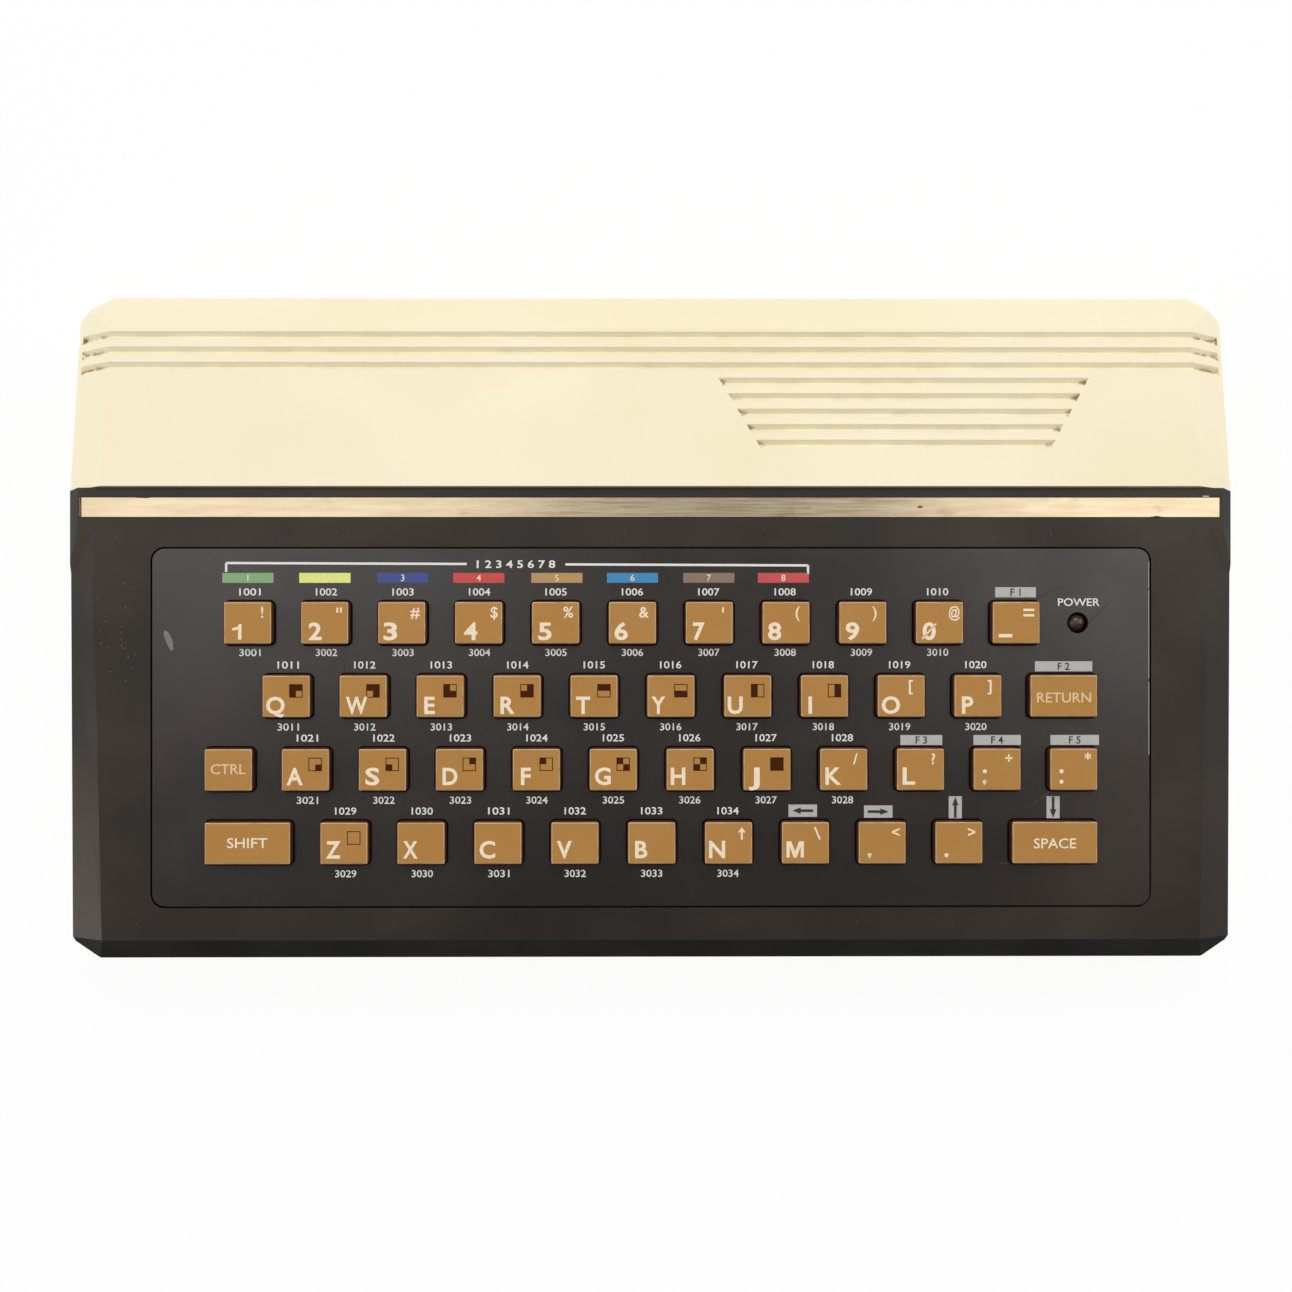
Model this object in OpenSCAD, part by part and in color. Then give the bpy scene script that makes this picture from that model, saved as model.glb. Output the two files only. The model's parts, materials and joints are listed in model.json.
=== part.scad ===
// Home computer with a sloping deck of rubber keys, in millimetres.
// The front is -Y, the right side is +X and up is +Z. The origin is on the table, under the
// middle of the whole object, with the socket barrels at its rear counted in.
// The deck frame, used for everything in the slope, has x to the right, v up the slope from the
// middle of the keyboard panel, and w out of the slope.

/* [Case] */
// Width of the case
case_w = 291; // [286:1:300]
// Depth of the case, from front wall to rear wall
case_d = 166.3; // [160:0.1:172]
// Thickness of the moulded walls
wall = 2.2; // [1.8:0.1:2.6]
// Height of the deck's front edge above the table
front_h = 27; // [26:0.5:30]
// Slope of the deck, in degrees
deck_slope = 9.5; // [8.5:0.5:11]
// Height of the rubber feet below the case
foot_h = 2.5; // [2:0.5:4]
// Radius of a foot
foot_r = 7; // [5:0.5:9]
// Width of the side bevel along the deck
bevel_w = 9; // [7:0.5:10]
// Width of the side bevel at the rear end of the deck
bevel_rear_w = 6.4; // [5:0.2:7]
// Drop of the side bevel of the deck
bevel_drop = 5; // [3:0.5:6]
// Depth of the front bevel, in plan
front_bevel_d = 4.3; // [3:0.1:6]
// Drop of the front bevel
front_bevel_drop = 5; // [3:0.5:7]
// Width of the cut front corners, in plan
front_corner_w = 7.2; // [5:0.2:9]
// Depth of the cut front corners, in plan
front_corner_d = 4.5; // [3:0.1:6]
// Width of the cut rear corners, in plan
rear_corner_w = 7.8; // [5:0.2:10]
// Depth of the cut rear corners, in plan
rear_corner_d = 6.6; // [5:0.2:9]
// Rounding of the upright edges at the corners
corner_round = 2.6; // [1:0.2:4]
// Bevel round the bottom edge
base_bevel = 1.6; // [1:0.2:2.4]
// Height of the seam between the shells at the front wall
seam_front = 14; // [13:0.5:16]
// Height of the seam between the shells at the rear wall
seam_rear = 28; // [26:0.5:32]
// Height of the tongue that locates the shells
tongue_h = 2; // [1:0.5:3]
// Clearance between fitted shells and plates
fit_gap = 0.15; // [0.1:0.05:0.3]

/* [Rear cover] */
// Rise of the cover above the deck at its front edge
cover_rise = 1.2; // [0.8:0.1:3]
// Drop of the side bevels of the cover
cover_bevel_drop = 4.5; // [3:0.5:6]
// Depth of the rear bevel, in plan
rear_bevel_d = 9.9; // [7:0.1:12]
// Drop of the rear bevel
rear_bevel_drop = 5; // [3:0.5:7]
// Pitch of the grooves
groove_pitch = 4.04; // [3.5:0.01:4.5]
// Width of a groove
groove_w = 2.2; // [1:0.1:2.6]
// Depth of a groove
groove_depth = 0.95; // [0.5:0.05:1.1]
// Distance of the first groove from the rear wall
groove_inset = 11.9; // [11:0.1:13]
// Distance of the long grooves' ends from the outer edge of the side bevels
groove_end = 1.2; // [0.8:0.1:3]
// Number of grooves across the whole cover
long_grooves = 3; // [2:1:4]
// Number of short grooves in front of them
short_grooves = 5; // [3:1:6]
// Length of the rearmost short groove, at its rear edge
short_len = 93.2; // [80:0.2:110]
// How far to the right the short grooves are centred
short_x = 63.4; // [50:0.2:70]
// How much shorter each short groove is at either end, as the ends lie on two slanted lines
short_step = 2.3; // [1:0.1:4]
// How far the deck's rear lip reaches under the cover
lap_d = 6; // [4:0.5:8]
// Thickness of that lip
lap_t = 1.6; // [1.2:0.1:2]

/* [Deck] */
// Width of the keyboard panel
panel_w = 248; // [246:0.5:252]
// Depth of the keyboard panel, along the slope
panel_d = 88.8; // [86:0.2:92]
// Corner radius of the keyboard panel
panel_r = 3; // [2:0.5:5]
// Thickness of the keyboard panel
panel_t = 1.6; // [1.2:0.1:2]
// Seam round the keyboard panel
panel_gap = 0.45; // [0.3:0.05:0.6]
// Deck in front of the panel
panel_margin = 8.45; // [7:0.05:10]
// Deck between the panel and the trim strip
strip_margin = 7.9; // [6:0.1:9]
// Width of the trim strip
strip_w = 4.8; // [4:0.05:6]
// Length of the trim strip
strip_len = 283; // [270:1:284]
// Thickness of the trim strip
strip_t = 0.4; // [0.3:0.05:0.6]
// How deep the trim strip is let in
strip_sink = 0.3; // [0.2:0.05:0.6]
// Deck behind the trim strip
strip_rear = 2.6; // [2:0.1:4]
// Flat deck beyond each end of the trim strip
strip_end = 1; // [0.6:0.1:1.5]
// Width of the ledge that carries the panel
ledge_w = 4; // [3:0.5:5]
// Thickness of that ledge
ledge_t = 2; // [1.5:0.1:2.5]

/* [Keys] */
// Distance between keys in a row
key_pitch = 19; // [18.8:0.05:19.2]
// Distance between rows, along the slope
row_pitch = 18.15; // [17.5:0.05:18.6]
// Distance of the top row from the middle of the panel
top_row_v = 25.95; // [25:0.05:27]
// Place of the first key of the top row
first_key_x = -99.8; // [-102:0.1:-98]
// Width of a plain key cap
cap_w = 12.1; // [11.5:0.1:13]
// Depth of every key cap
cap_d = 10.7; // [10:0.1:11.5]
// Corner radius of a key cap
cap_r = 1.2; // [0.8:0.1:2]
// Height of the key caps above the panel
cap_h = 2.5; // [2:0.1:3.5]
// Width of the chamfer round a key's top
cap_edge = 0.5; // [0.3:0.05:0.8]
// Drop of that chamfer
cap_edge_drop = 0.4; // [0.2:0.05:0.8]
// Width of the shift and space keys
wide_w = 21.5; // [20:0.1:22]
// Width of the return key
return_w = 17; // [16:0.1:18]
// Gap between a key cap and its hole in the panel
key_gap = 0.42; // [0.3:0.02:0.6]
// Travel of a key
key_travel = 1.5; // [1:0.1:1.8]
// Width of the flange that holds a key under the panel
flange_w = 1.05; // [0.9:0.05:1.4]
// Thickness of that flange
flange_t = 1; // [0.8:0.1:1.2]
// Running gap round a moving piece
run_gap = 0.25; // [0.2:0.05:0.4]
// How much narrower a key's base is than its cap, on each side
base_step = 1; // [0.6:0.1:1.5]
// Depth of the keyboard's circuit board below the deck
key_board_w = 7.7; // [7.4:0.1:9]
// Thickness of the rubber mat between the keys
mat_t = 1; // [0.8:0.1:1.4]
// Wall of the rubber rim round each key's base
rim_t = 1.1; // [0.8:0.1:1.4]
// Radius of the carbon pill under each key
pill_r = 2.2; // [1.5:0.1:3]
// Radius of the power lamp
lamp_r = 2.45; // [2:0.05:2.8]
// Place of the power lamp, to the right of the panel's middle
lamp_x = 106.1; // [104:0.1:108]

/* [Boards] */
// Thickness of the circuit boards
board_t = 1.6; // [1.2:0.2:2]
// Depth of the main board
board_d = 94; // [90:1:98]
// Height of the posts that carry the main board
standoff_h = 4.3; // [4:0.1:6]
// Radius of those posts
standoff_r = 3; // [2.6:0.1:3.6]
// Clearance of the main board at its sides and at the cut corners
board_side = 3; // [2:0.1:4]
// Clearance between the main board and the rear wall
board_back = 2.2; // [1.5:0.1:3]
// Distance of the outer posts from the board's side edges
post_inset = 35.3; // [30:0.1:40]
// Distance of the front posts from the board's front edge
post_front = 5; // [4:0.5:8]
// Distance of the rear posts from the board's rear edge
post_rear = 32; // [28:0.5:36]
// Place of the front row of chips, from the board's front edge
chip_row_a = 19; // [16:0.5:21]
// Place of the middle row of chips
chip_row_b = 36; // [33:0.5:39]
// Place of the rear row of chips
chip_row_c = 56; // [52:0.5:60]
// Length of the smallest chips
chip_s = 20; // [18:0.5:21]
// Length of the middle chips
chip_m = 35; // [32:0.5:37]
// Length of the largest chips
chip_l = 52; // [50:0.5:53]
// Distance between the smallest chips
chip_s_pitch = 28; // [24:0.5:30]
// Distance between the middle chips
chip_m_pitch = 42; // [39:0.5:44]
// Height of a chip in its socket
chip_h = 4; // [3:0.5:6]
// Distance of the capacitors and the sounder from the board's side edges
can_inset = 24; // [20:0.5:28]
// Radius of the capacitors
can_r = 4; // [3:0.5:5]
// Radius of the sounder
sounder_r = 11; // [8:0.5:12]
// Width of the heat sink
sink_w = 18; // [14:0.5:20]
// Height of the heat sink
sink_h = 16; // [12:0.5:18]
// Width of the ribbon's connectors
plug_w = 32; // [26:0.5:36]

/* [Screws] */
// Radius of the case screws' shanks
screw_r = 1.5; // [1.3:0.1:1.7]
// Radius of the case screws' heads
head_r = 3; // [2.6:0.1:3.4]
// Height of a screw head
head_h = 2; // [1.6:0.1:2.4]
// Length of the case screws' shanks
screw_len = 14; // [10:0.5:15]
// Radius of the screw posts in the lower shell
post_r = 4.4; // [4.2:0.1:5]
// Height of those posts inside the case bottom
post_h = 8.5; // [8:0.5:10]
// Depth of the screw pockets in the case bottom
pocket_d = 4.5; // [4:0.5:6]
// Distance of the screws from the side walls
screw_inset = 14; // [13.5:0.5:15]
// Radius of the small screws that hold the boards
small_r = 1.3; // [1.1:0.1:1.5]
// Radius of their heads
small_head_r = 2.5; // [2.2:0.1:2.8]
// Length of their shanks
small_len = 6; // [5:0.5:7]
// Distance of the side screws of the keyboard's board from its middle
side_screw_v = 25; // [20:0.5:30]
// Distance of its front and rear screws from its middle
front_screw_x = 60; // [50:1:70]
// Distance of the feet from the side walls
foot_side = 27.5; // [22:0.5:32]
// Distance of the feet from the front and rear walls
foot_end = 21; // [18:0.5:26]

/* [Sockets and switch] */
// Radius of the screened sockets' barrels
barrel_r = 4.15; // [4:0.05:4.3]
// How far the barrels stand out of the rear wall
barrel_out = 7.5; // [6:0.5:10]
// Bore of the screened sockets
barrel_bore = 1.65; // [1.5:0.05:1.8]
// Bore of the tape socket
tape_bore = 1.8; // [1.75:0.05:1.85]
// Bore of the power socket
dc_bore = 2.75; // [2.6:0.05:3]
// Pin of the power socket
dc_pin = 1; // [0.8:0.05:1.1]
// Place of the TV socket, to the right of the middle
tv_x = 30; // [26:0.5:34]
// Width of the TV socket's can
tv_can_w = 30; // [26:0.5:34]
// Width of the video socket's block
video_block_w = 12; // [10:0.5:14]
// Width of a jack
jack_w = 11; // [10:0.5:12]
// Gap between the blocks of the sockets
socket_gap = 6; // [4:0.5:8]
// Place of the wider expansion opening
expansion_x = -86; // [-90:1:-80]
// Wall between the expansion openings
expansion_gap = 7; // [5:0.5:9]
// Width of the wider expansion opening
expansion_w = 62; // [56:1:64]
// Width of the narrower expansion opening
expansion2_w = 48; // [44:1:50]
// Height of the expansion openings
expansion_h = 14; // [12:0.5:15]
// Travel of the power switch
switch_travel = 4; // [3:0.5:5]
// Length of the power switch's knob
knob_l = 8; // [7:0.5:9]
// Height of the power switch's knob
knob_h = 6; // [5:0.5:7]
// Depth of the recess round the power switch
recess_d = 2; // [1.6:0.1:2.2]

/* [Hidden] */
$fn = 48;
reach = 420;
soft = 0.01;

y_front = -(case_d + barrel_out) / 2;
y_rear = y_front + case_d;
half_w = case_w / 2;
sin_s = sin(deck_slope);
cos_s = cos(deck_slope);

// The deck, measured up the slope from its front edge
deck_mid = panel_margin + panel_d / 2;
deck_len = panel_margin + panel_d + strip_margin + strip_w + strip_rear;
strip_v = panel_d / 2 + strip_margin + strip_w / 2;
band_v = strip_v - strip_w / 2 - strip_rear;
deck_o = [0, y_front + front_bevel_d + deck_mid * cos_s, front_h + deck_mid * sin_s];
cover_y = y_front + front_bevel_d + deck_len * cos_s;
cover_top = front_h + deck_len * sin_s + cover_rise;
seam_slope = atan((seam_rear - seam_front) / case_d);
floor_z = foot_h + wall;

// Levels below the deck, along w
flange_top = panel_t + run_gap;
flange_low = flange_top + flange_t;
rim_top = flange_low + key_travel + run_gap;
mat_top = key_board_w - mat_t;
base_low = mat_top - key_travel - run_gap;
pill_low = key_board_w - key_travel - run_gap / 2;
board_low = key_board_w + board_t;
key_board_x = panel_w / 2 - ledge_w / 2 + 0.6;
key_board_v = panel_d / 2 - ledge_w / 2 + 0.6;
key_board_edge = 3;

// Keys: name, place and width. The rows are staggered by a half, a quarter and a half pitch
ROWS = [
    ["1", "2", "3", "4", "5", "6", "7", "8", "9", "0", "minus"],
    ["q", "w", "e", "r", "t", "y", "u", "i", "o", "p"],
    ["ctrl", "a", "s", "d", "f", "g", "h", "j", "k", "l", "semicolon", "colon"],
    ["z", "x", "c", "v", "b", "n", "m", "comma", "period"]
];
row_x = [
    first_key_x,
    first_key_x + key_pitch * 1 / 2,
    first_key_x - key_pitch * 1 / 4,
    first_key_x + key_pitch * 5 / 4
];
keys_left = row_x[2] - cap_w / 2;
keys_right = row_x[2] + (len(ROWS[2]) - 1) * key_pitch + cap_w / 2;
function row_v(r) = top_row_v - r * row_pitch;
KEYS = concat(
    [for (r = [0 : len(ROWS) - 1]) for (i = [0 : len(ROWS[r]) - 1])
        [str("key_", ROWS[r][i]), row_x[r] + i * key_pitch, row_v(r), cap_w]],
    [["key_return", keys_right - return_w / 2, row_v(1), return_w],
     ["key_shift", keys_left + wide_w / 2, row_v(3), wide_w],
     ["key_space", keys_right - wide_w / 2, row_v(3), wide_w]]
);

// Main board and what stands on it
board_z = floor_z + standoff_h;
board_top = board_z + board_t;
board_y1 = y_rear - wall - board_back;
board_y0 = board_y1 - board_d;
board_half = half_w - wall - board_side;
standoff_x = board_half - post_inset;
standoffs = [for (x = [-standoff_x, 0, standoff_x]) for (y = [board_y0 + post_front, board_y1 - post_rear]) [x, y]];

// Case screws: two in front, two beside the strip and two at the rear
screw_x = half_w - screw_inset;
screw_front_y = y_front + wall + post_r + 2;
screw_mid_y = cover_y - 7;
screw_rear_y = y_rear - wall - 12.3;
case_screws = [for (x = [-screw_x, screw_x]) for (y = [screw_front_y, screw_mid_y, screw_rear_y]) [x, y]];
post_top = foot_h + post_h;
head_top = foot_h + pocket_d;

// Screws of the keyboard's board, in the deck frame
board_screws = concat(
    [for (x = [-key_board_x, key_board_x]) for (v = [-side_screw_v, side_screw_v]) [x, v]],
    [for (x = [-front_screw_x, front_screw_x]) for (v = [-key_board_v, key_board_v]) [x, v]]
);

// Feet, sockets and power switch
foot_x = half_w - foot_side;
foot_y0 = y_front + foot_end;
foot_y1 = y_rear - foot_end;
foot_sink = 0.5;
socket_y = y_rear - wall - 0.3;
socket_z = board_top + 8;
jack_z = board_top + 5.5;
video_x = tv_x + tv_can_w / 2 + socket_gap + video_block_w / 2;
tape_x = video_x + video_block_w / 2 + socket_gap + jack_w / 2;
dc_x = tape_x + jack_w + socket_gap;
sleeve_r = 3.5;
expansion2_x = expansion_x + expansion_w / 2 + expansion_gap + expansion2_w / 2;
expansion_z = floor_z + expansion_h / 2 + 0.6;
switch_y = (screw_mid_y + screw_rear_y) / 2;
switch_z = board_top + 5.5;
switch_skin = half_w - recess_d - wall;
stem_l = 5;
stem_h = 3.4;

// Planes: a point and a unit normal that points out of the case

function unit(v) = v / norm(v);
function flat(p, n) = [p, unit(n)];
function through(a, b, c) = [a, unit(cross(b - a, c - a))];
function flip(v) = [-v.x, v.y, v.z];
function both(planes) = concat(planes, [for (p = planes) [flip(p[0]), flip(p[1])]]);
function inset(planes, t) = [for (p = planes) [p[0] - t * p[1], p[1]]];
function deck(x, v, w) = deck_o + [x, v * cos_s - w * sin_s, v * sin_s + w * cos_s];

deck_n = [0, -sin_s, cos_s];
deck_dir = [0, cos_s, sin_s];
seam_n = [0, -sin(seam_slope), cos(seam_slope)];
seam_p = [0, y_front, seam_front];
seam_up = [flat(seam_p, seam_n)];
seam_down = [flat(seam_p, -seam_n)];

// The plane that blunts the upright edge at a point, where planes with two normals meet
function blunt(p, n1, n2) =
    flat(p + corner_round * (unit(n1 + n2) - (n1 + n2) / (1 + n1 * n2)), n1 + n2);

front_cut = flat([half_w, y_front + front_corner_d, 0], [front_corner_d, -front_corner_w, 0]);
rear_cut = flat([half_w, y_rear - rear_corner_d, 0], [rear_corner_d, rear_corner_w, 0]);
plan = concat(
    [flat([0, y_front, 0], [0, -1, 0]), flat([0, y_rear, 0], [0, 1, 0])],
    both([
        flat([half_w, 0, 0], [1, 0, 0]),
        front_cut,
        rear_cut,
        blunt(front_cut[0], [1, 0, 0], front_cut[1]),
        blunt([half_w - front_corner_w, y_front, 0], front_cut[1], [0, -1, 0]),
        blunt(rear_cut[0], [1, 0, 0], rear_cut[1]),
        blunt([half_w - rear_corner_w, y_rear, 0], rear_cut[1], [0, 1, 0])
    ])
);
base_planes = concat(
    [flat([0, 0, foot_h], [0, 0, -1]),
     flat([0, y_front, foot_h + base_bevel], [0, -1, -1]),
     flat([0, y_rear, foot_h + base_bevel], [0, 1, -1])],
    both([flat([half_w, 0, foot_h + base_bevel], [1, 0, -1])])
);
corner_a = deck(half_w - bevel_w, -deck_mid, 0);
corner_b = deck(half_w, -deck_mid, -bevel_drop);
corner_c = [half_w - front_corner_w, y_front, front_h - front_bevel_drop];
deck_plane = [flat(deck_o, deck_n)];
front_planes = concat(
    [flat([0, y_front, front_h - front_bevel_drop], [0, -front_bevel_drop, front_bevel_d])],
    both([through(corner_a, corner_c, corner_b)])
);
deck_planes = concat(deck_plane, front_planes,
    both([through(corner_a, corner_b, deck(half_w - bevel_rear_w, strip_v, 0))]));
band_edge = half_w - strip_len / 2 - strip_end;
band_planes = concat(deck_plane,
    [flat(deck(0, band_v, 0), 3 * deck_n - deck_dir)],
    both([flat(deck(half_w - band_edge, 0, 0), deck_n + [1, 0, 0])]));
deck_end = [flat([0, cover_y - fit_gap, 0], [0, 1, 0])];
cover_planes = concat(
    [flat([0, 0, cover_top], [0, 0, 1]),
     flat([0, y_rear, cover_top - rear_bevel_drop], [0, rear_bevel_drop, rear_bevel_d])],
    both([flat([half_w, 0, cover_top - cover_bevel_drop], [cover_bevel_drop, 0, bevel_w])])
);
cover_start = [flat([0, cover_y, 0], [0, -1, 0])];

// Everything on the far side of a plane
module beyond(p) {
    translate(p[0])
        rotate([0, acos(p[1].z), atan2(p[1].y, p[1].x)])
            translate([-reach, -reach, 0])
                cube([2 * reach, 2 * reach, reach]);
}

// The body bounded by a list of planes
module convex(planes) {
    difference() {
        translate([-reach / 2, -reach / 2, -reach / 2]) cube(reach);
        for (p = planes) beyond(p);
    }
}

// The case's outline in plan, moved in by t and drawn far up and down
module upright(t) {
    translate([0, 0, -reach / 2]) linear_extrude(reach) difference() {
        square(reach, center = true);
        for (p = inset(plan, t))
            translate([p[0].x, p[0].y]) rotate(atan2(p[1].y, p[1].x))
                translate([0, -reach]) square([reach, 2 * reach]);
    }
}

// The body inside that outline that a list of planes bounds
module within(t, planes) {
    difference() {
        upright(t);
        for (p = planes) beyond(p);
    }
}

// A shell with walls behind its skin, open where its mouths are
module hollow(skin, mouths) {
    difference() {
        within(0, concat(skin, mouths));
        within(wall, concat(inset(skin, wall), inset(mouths, -1)));
    }
}

module on_deck() {
    translate(deck_o) rotate([deck_slope, 0, 0]) children();
}

module rounded(w, d, r) {
    square([w - 2 * r, d], center = true);
    square([w, d - 2 * r], center = true);
    for (x = [-1, 1]) for (y = [-1, 1])
        translate([x * (w / 2 - r), y * (d / 2 - r)]) circle(r);
}

// A rounded plate in the deck frame, between two levels
module deck_plate(w, d, r, low, high) {
    on_deck() translate([0, 0, low]) linear_extrude(high - low) rounded(w, d, r);
}

module box_from(a, b) {
    translate(a) cube(b - a);
}

// The slot in an upper shell's walls that takes the tongue of the lower shell
module tongue_slot() {
    difference() {
        within(wall / 2, concat(inset(seam_down, -1), inset(seam_up, -tongue_h - fit_gap)));
        within(wall + soft, concat(inset(seam_down, -2), inset(seam_up, -2 * tongue_h)));
    }
}

// Bosses that take the case screws, inside the body bounded by the planes
module screw_bosses(places, planes) {
    difference() {
        intersection() {
            for (p = places) translate([p.x, p.y, post_top + fit_gap]) cylinder(r = post_r - 0.6, h = reach / 4);
            convex(inset(planes, wall / 2));
        }
        for (p = places)
            translate([p.x, p.y, 0]) cylinder(r = screw_r + 0.1, h = head_top + screw_len + 1);
    }
}

// Shells

module socket_holes() {
    for (x = [tv_x, video_x])
        translate([x, y_rear - 2 * wall, socket_z])
            rotate([-90, 0, 0]) cylinder(r = barrel_r + 1, h = 3 * wall);
    for (x = [tape_x, dc_x])
        translate([x, y_rear - 2 * wall, jack_z])
            rotate([-90, 0, 0]) cylinder(r = sleeve_r + 0.3, h = 3 * wall);
}

module expansion_holes() {
    for (e = [[expansion_x, expansion_w], [expansion2_x, expansion2_w]])
        translate([e[0], y_rear, expansion_z])
            cube([e[1], 3 * wall, expansion_h], center = true);
}

module vents() {
    vent_pitch = 8;
    for (x = [-10 : 10]) for (y = [board_y0 + 36, board_y0 - 28]) if (abs(x) > 1)
        translate([x * vent_pitch, y, foot_h]) {
            cube([2.2, 26, 3 * wall], center = true);
            for (e = [-13, 13]) translate([0, e, 0]) cylinder(d = 2.2, h = 3 * wall, center = true);
        }
}

module switch_pocket(grow, depth) {
    box_from(
        [switch_skin + recess_d + wall - depth, switch_y - knob_l / 2 - switch_travel / 2 - 1.5 - grow,
         switch_z - knob_h / 2 - 1 - grow],
        [half_w + (grow > 0 ? -wall / 2 : 1), switch_y + knob_l / 2 + switch_travel / 2 + 1.5 + grow,
         switch_z + knob_h / 2 + 1 + grow]);
}

module lower_shell() {
    color("#e9dfbf") difference() {
        union() {
            hollow(base_planes, seam_up);
            difference() {
                within(wall / 2 + fit_gap, concat(inset(seam_down, -1), inset(seam_up, -tongue_h)));
                within(wall, concat(inset(seam_down, -2), inset(seam_up, -2 * tongue_h)));
            }
            for (p = case_screws) translate([p.x, p.y, foot_h + soft]) cylinder(r = post_r, h = post_h - soft);
            for (p = standoffs) translate([p.x, p.y, foot_h + soft]) cylinder(r = standoff_r, h = board_z - foot_h - soft);
            for (x = [-foot_x, foot_x]) for (y = [foot_y0, foot_y1])
                translate([x, y, foot_h + soft]) cylinder(r = foot_r + 2, h = wall + foot_sink);
            for (x = [-84, 84])
                box_from([x - 0.8, y_front + wall / 2, foot_h + soft], [x + 0.8, y_rear - wall / 2, floor_z + 2.5]);
            switch_pocket(wall, recess_d + wall);
        }
        for (p = case_screws) translate([p.x, p.y, 0]) {
            cylinder(r = head_r + 0.3, h = head_top);
            cylinder(r = screw_r + 0.25, h = post_top + 1);
        }
        for (p = standoffs) translate([p.x, p.y, foot_h + 1]) cylinder(r = small_r + 0.1, h = board_z);
        for (x = [-foot_x, foot_x]) for (y = [foot_y0, foot_y1])
            translate([x, y, 0]) cylinder(r = foot_r + 0.2, h = foot_h + foot_sink);
        vents();
        socket_holes();
        expansion_holes();
        switch_pocket(0, recess_d);
        translate([switch_skin, switch_y, switch_z])
            cube([3 * wall, stem_l + switch_travel + 2 * run_gap, stem_h + 2 * run_gap], center = true);
    }
}

module keyboard_housing() {
    deck_screws = [for (p = case_screws) if (p.y < cover_y) p];
    lip_top = cover_top - wall - fit_gap;
    lip_x = half_w - bevel_w - 3;
    color("#3c3632") difference() {
        union() {
            difference() {
                union() {
                    within(0, concat(deck_planes, deck_end, seam_down));
                    within(0, concat(band_planes, deck_end, seam_down));
                }
                within(wall, concat(inset(deck_planes, wall), inset(deck_end, -1), inset(seam_down, -1)));
            }
            screw_bosses(deck_screws, deck_planes);
            // The ledge under the panel, and the bosses that carry the keyboard's board
            deck_plate(panel_w + 2 * (panel_gap + wall), panel_d + 2 * (panel_gap + wall), panel_r + wall,
                -panel_t - ledge_t, -panel_t / 2);
            on_deck() for (p = board_screws)
                translate([p.x, p.y, -key_board_w]) cylinder(r = 2.5, h = key_board_w - panel_t);
            // The lip that reaches under the rear cover
            box_from([-lip_x, cover_y - fit_gap - soft, lip_top - lap_t], [lip_x, cover_y + lap_d, lip_top]);
            intersection() {
                box_from([-lip_x, cover_y - wall - 2, lip_top - lap_t - 1], [lip_x, cover_y - fit_gap, cover_top]);
                convex(concat(deck_planes, deck_end));
            }
        }
        deck_plate(panel_w + 2 * panel_gap, panel_d + 2 * panel_gap, panel_r + panel_gap, -panel_t, 20);
        deck_plate(panel_w - 2 * ledge_w, panel_d - 2 * ledge_w, panel_r, -20, 20);
        on_deck() translate([0, strip_v, -strip_sink + 2])
            cube([strip_len + 2 * fit_gap, strip_w + 2 * fit_gap, 4], center = true);
        on_deck() for (p = board_screws)
            translate([p.x, p.y, -key_board_w - 1]) cylinder(r = small_r + 0.1, h = 6);
        tongue_slot();
    }
}

// One groove, a plain V along X whose flanks go on above the face that it is cut into
module groove_prism(len) {
    rotate([90, 0, 90]) translate([0, 0, -len / 2]) linear_extrude(len)
        polygon([[-0.75 * groove_w, groove_depth / 2], [0, -groove_depth], [0.75 * groove_w, groove_depth / 2]]);
}

module long_groove(y) {
    flat_len = case_w - 2 * bevel_w;
    tilt = atan(cover_bevel_drop / bevel_w);
    side_len = norm([bevel_w, cover_bevel_drop]) - groove_end;
    // The side stretches are a hair deeper, so no two rims end in the same point
    translate([0, y, cover_top]) groove_prism(flat_len + 0.5);
    for (side = [-1, 1])
        translate([side * flat_len / 2, y, cover_top - 3 * soft]) rotate([0, side * tilt, 0])
            translate([side * (side_len - 0.4) / 2, 0, 0]) groove_prism(side_len + 0.4);
}

// The short grooves, with their ends cut along two slanted lines
module short_groove_set() {
    rear_y = y_rear - groove_inset - long_grooves * groove_pitch + groove_w / 2;
    set_d = short_grooves * groove_pitch;
    slant = short_step / groove_pitch;
    intersection() {
        for (i = [0 : short_grooves - 1])
            translate([short_x, rear_y - groove_w / 2 - i * groove_pitch, cover_top])
                groove_prism(short_len + 4);
        translate([short_x, rear_y, cover_top - wall]) linear_extrude(2 * wall)
            polygon([for (p = [[-1, 1], [-1, -set_d], [1, -set_d], [1, 1]])
                [p.x * (short_len / 2 + slant * p.y), p.y]]);
    }
}

module rear_cover() {
    cover_screws = [for (p = case_screws) if (p.y > cover_y) p];
    color("#f3ead0") difference() {
        union() {
            hollow(cover_planes, concat(cover_start, seam_down));
            screw_bosses(cover_screws, cover_planes);
        }
        for (i = [0 : long_grooves - 1]) long_groove(y_rear - groove_inset - i * groove_pitch);
        short_groove_set();
        tongue_slot();
    }
}

module trim_strip() {
    color("#d8c290") on_deck() translate([0, strip_v, strip_t / 2 - strip_sink])
        cube([strip_len, strip_w, strip_t], center = true);
}

// Keyboard

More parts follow.
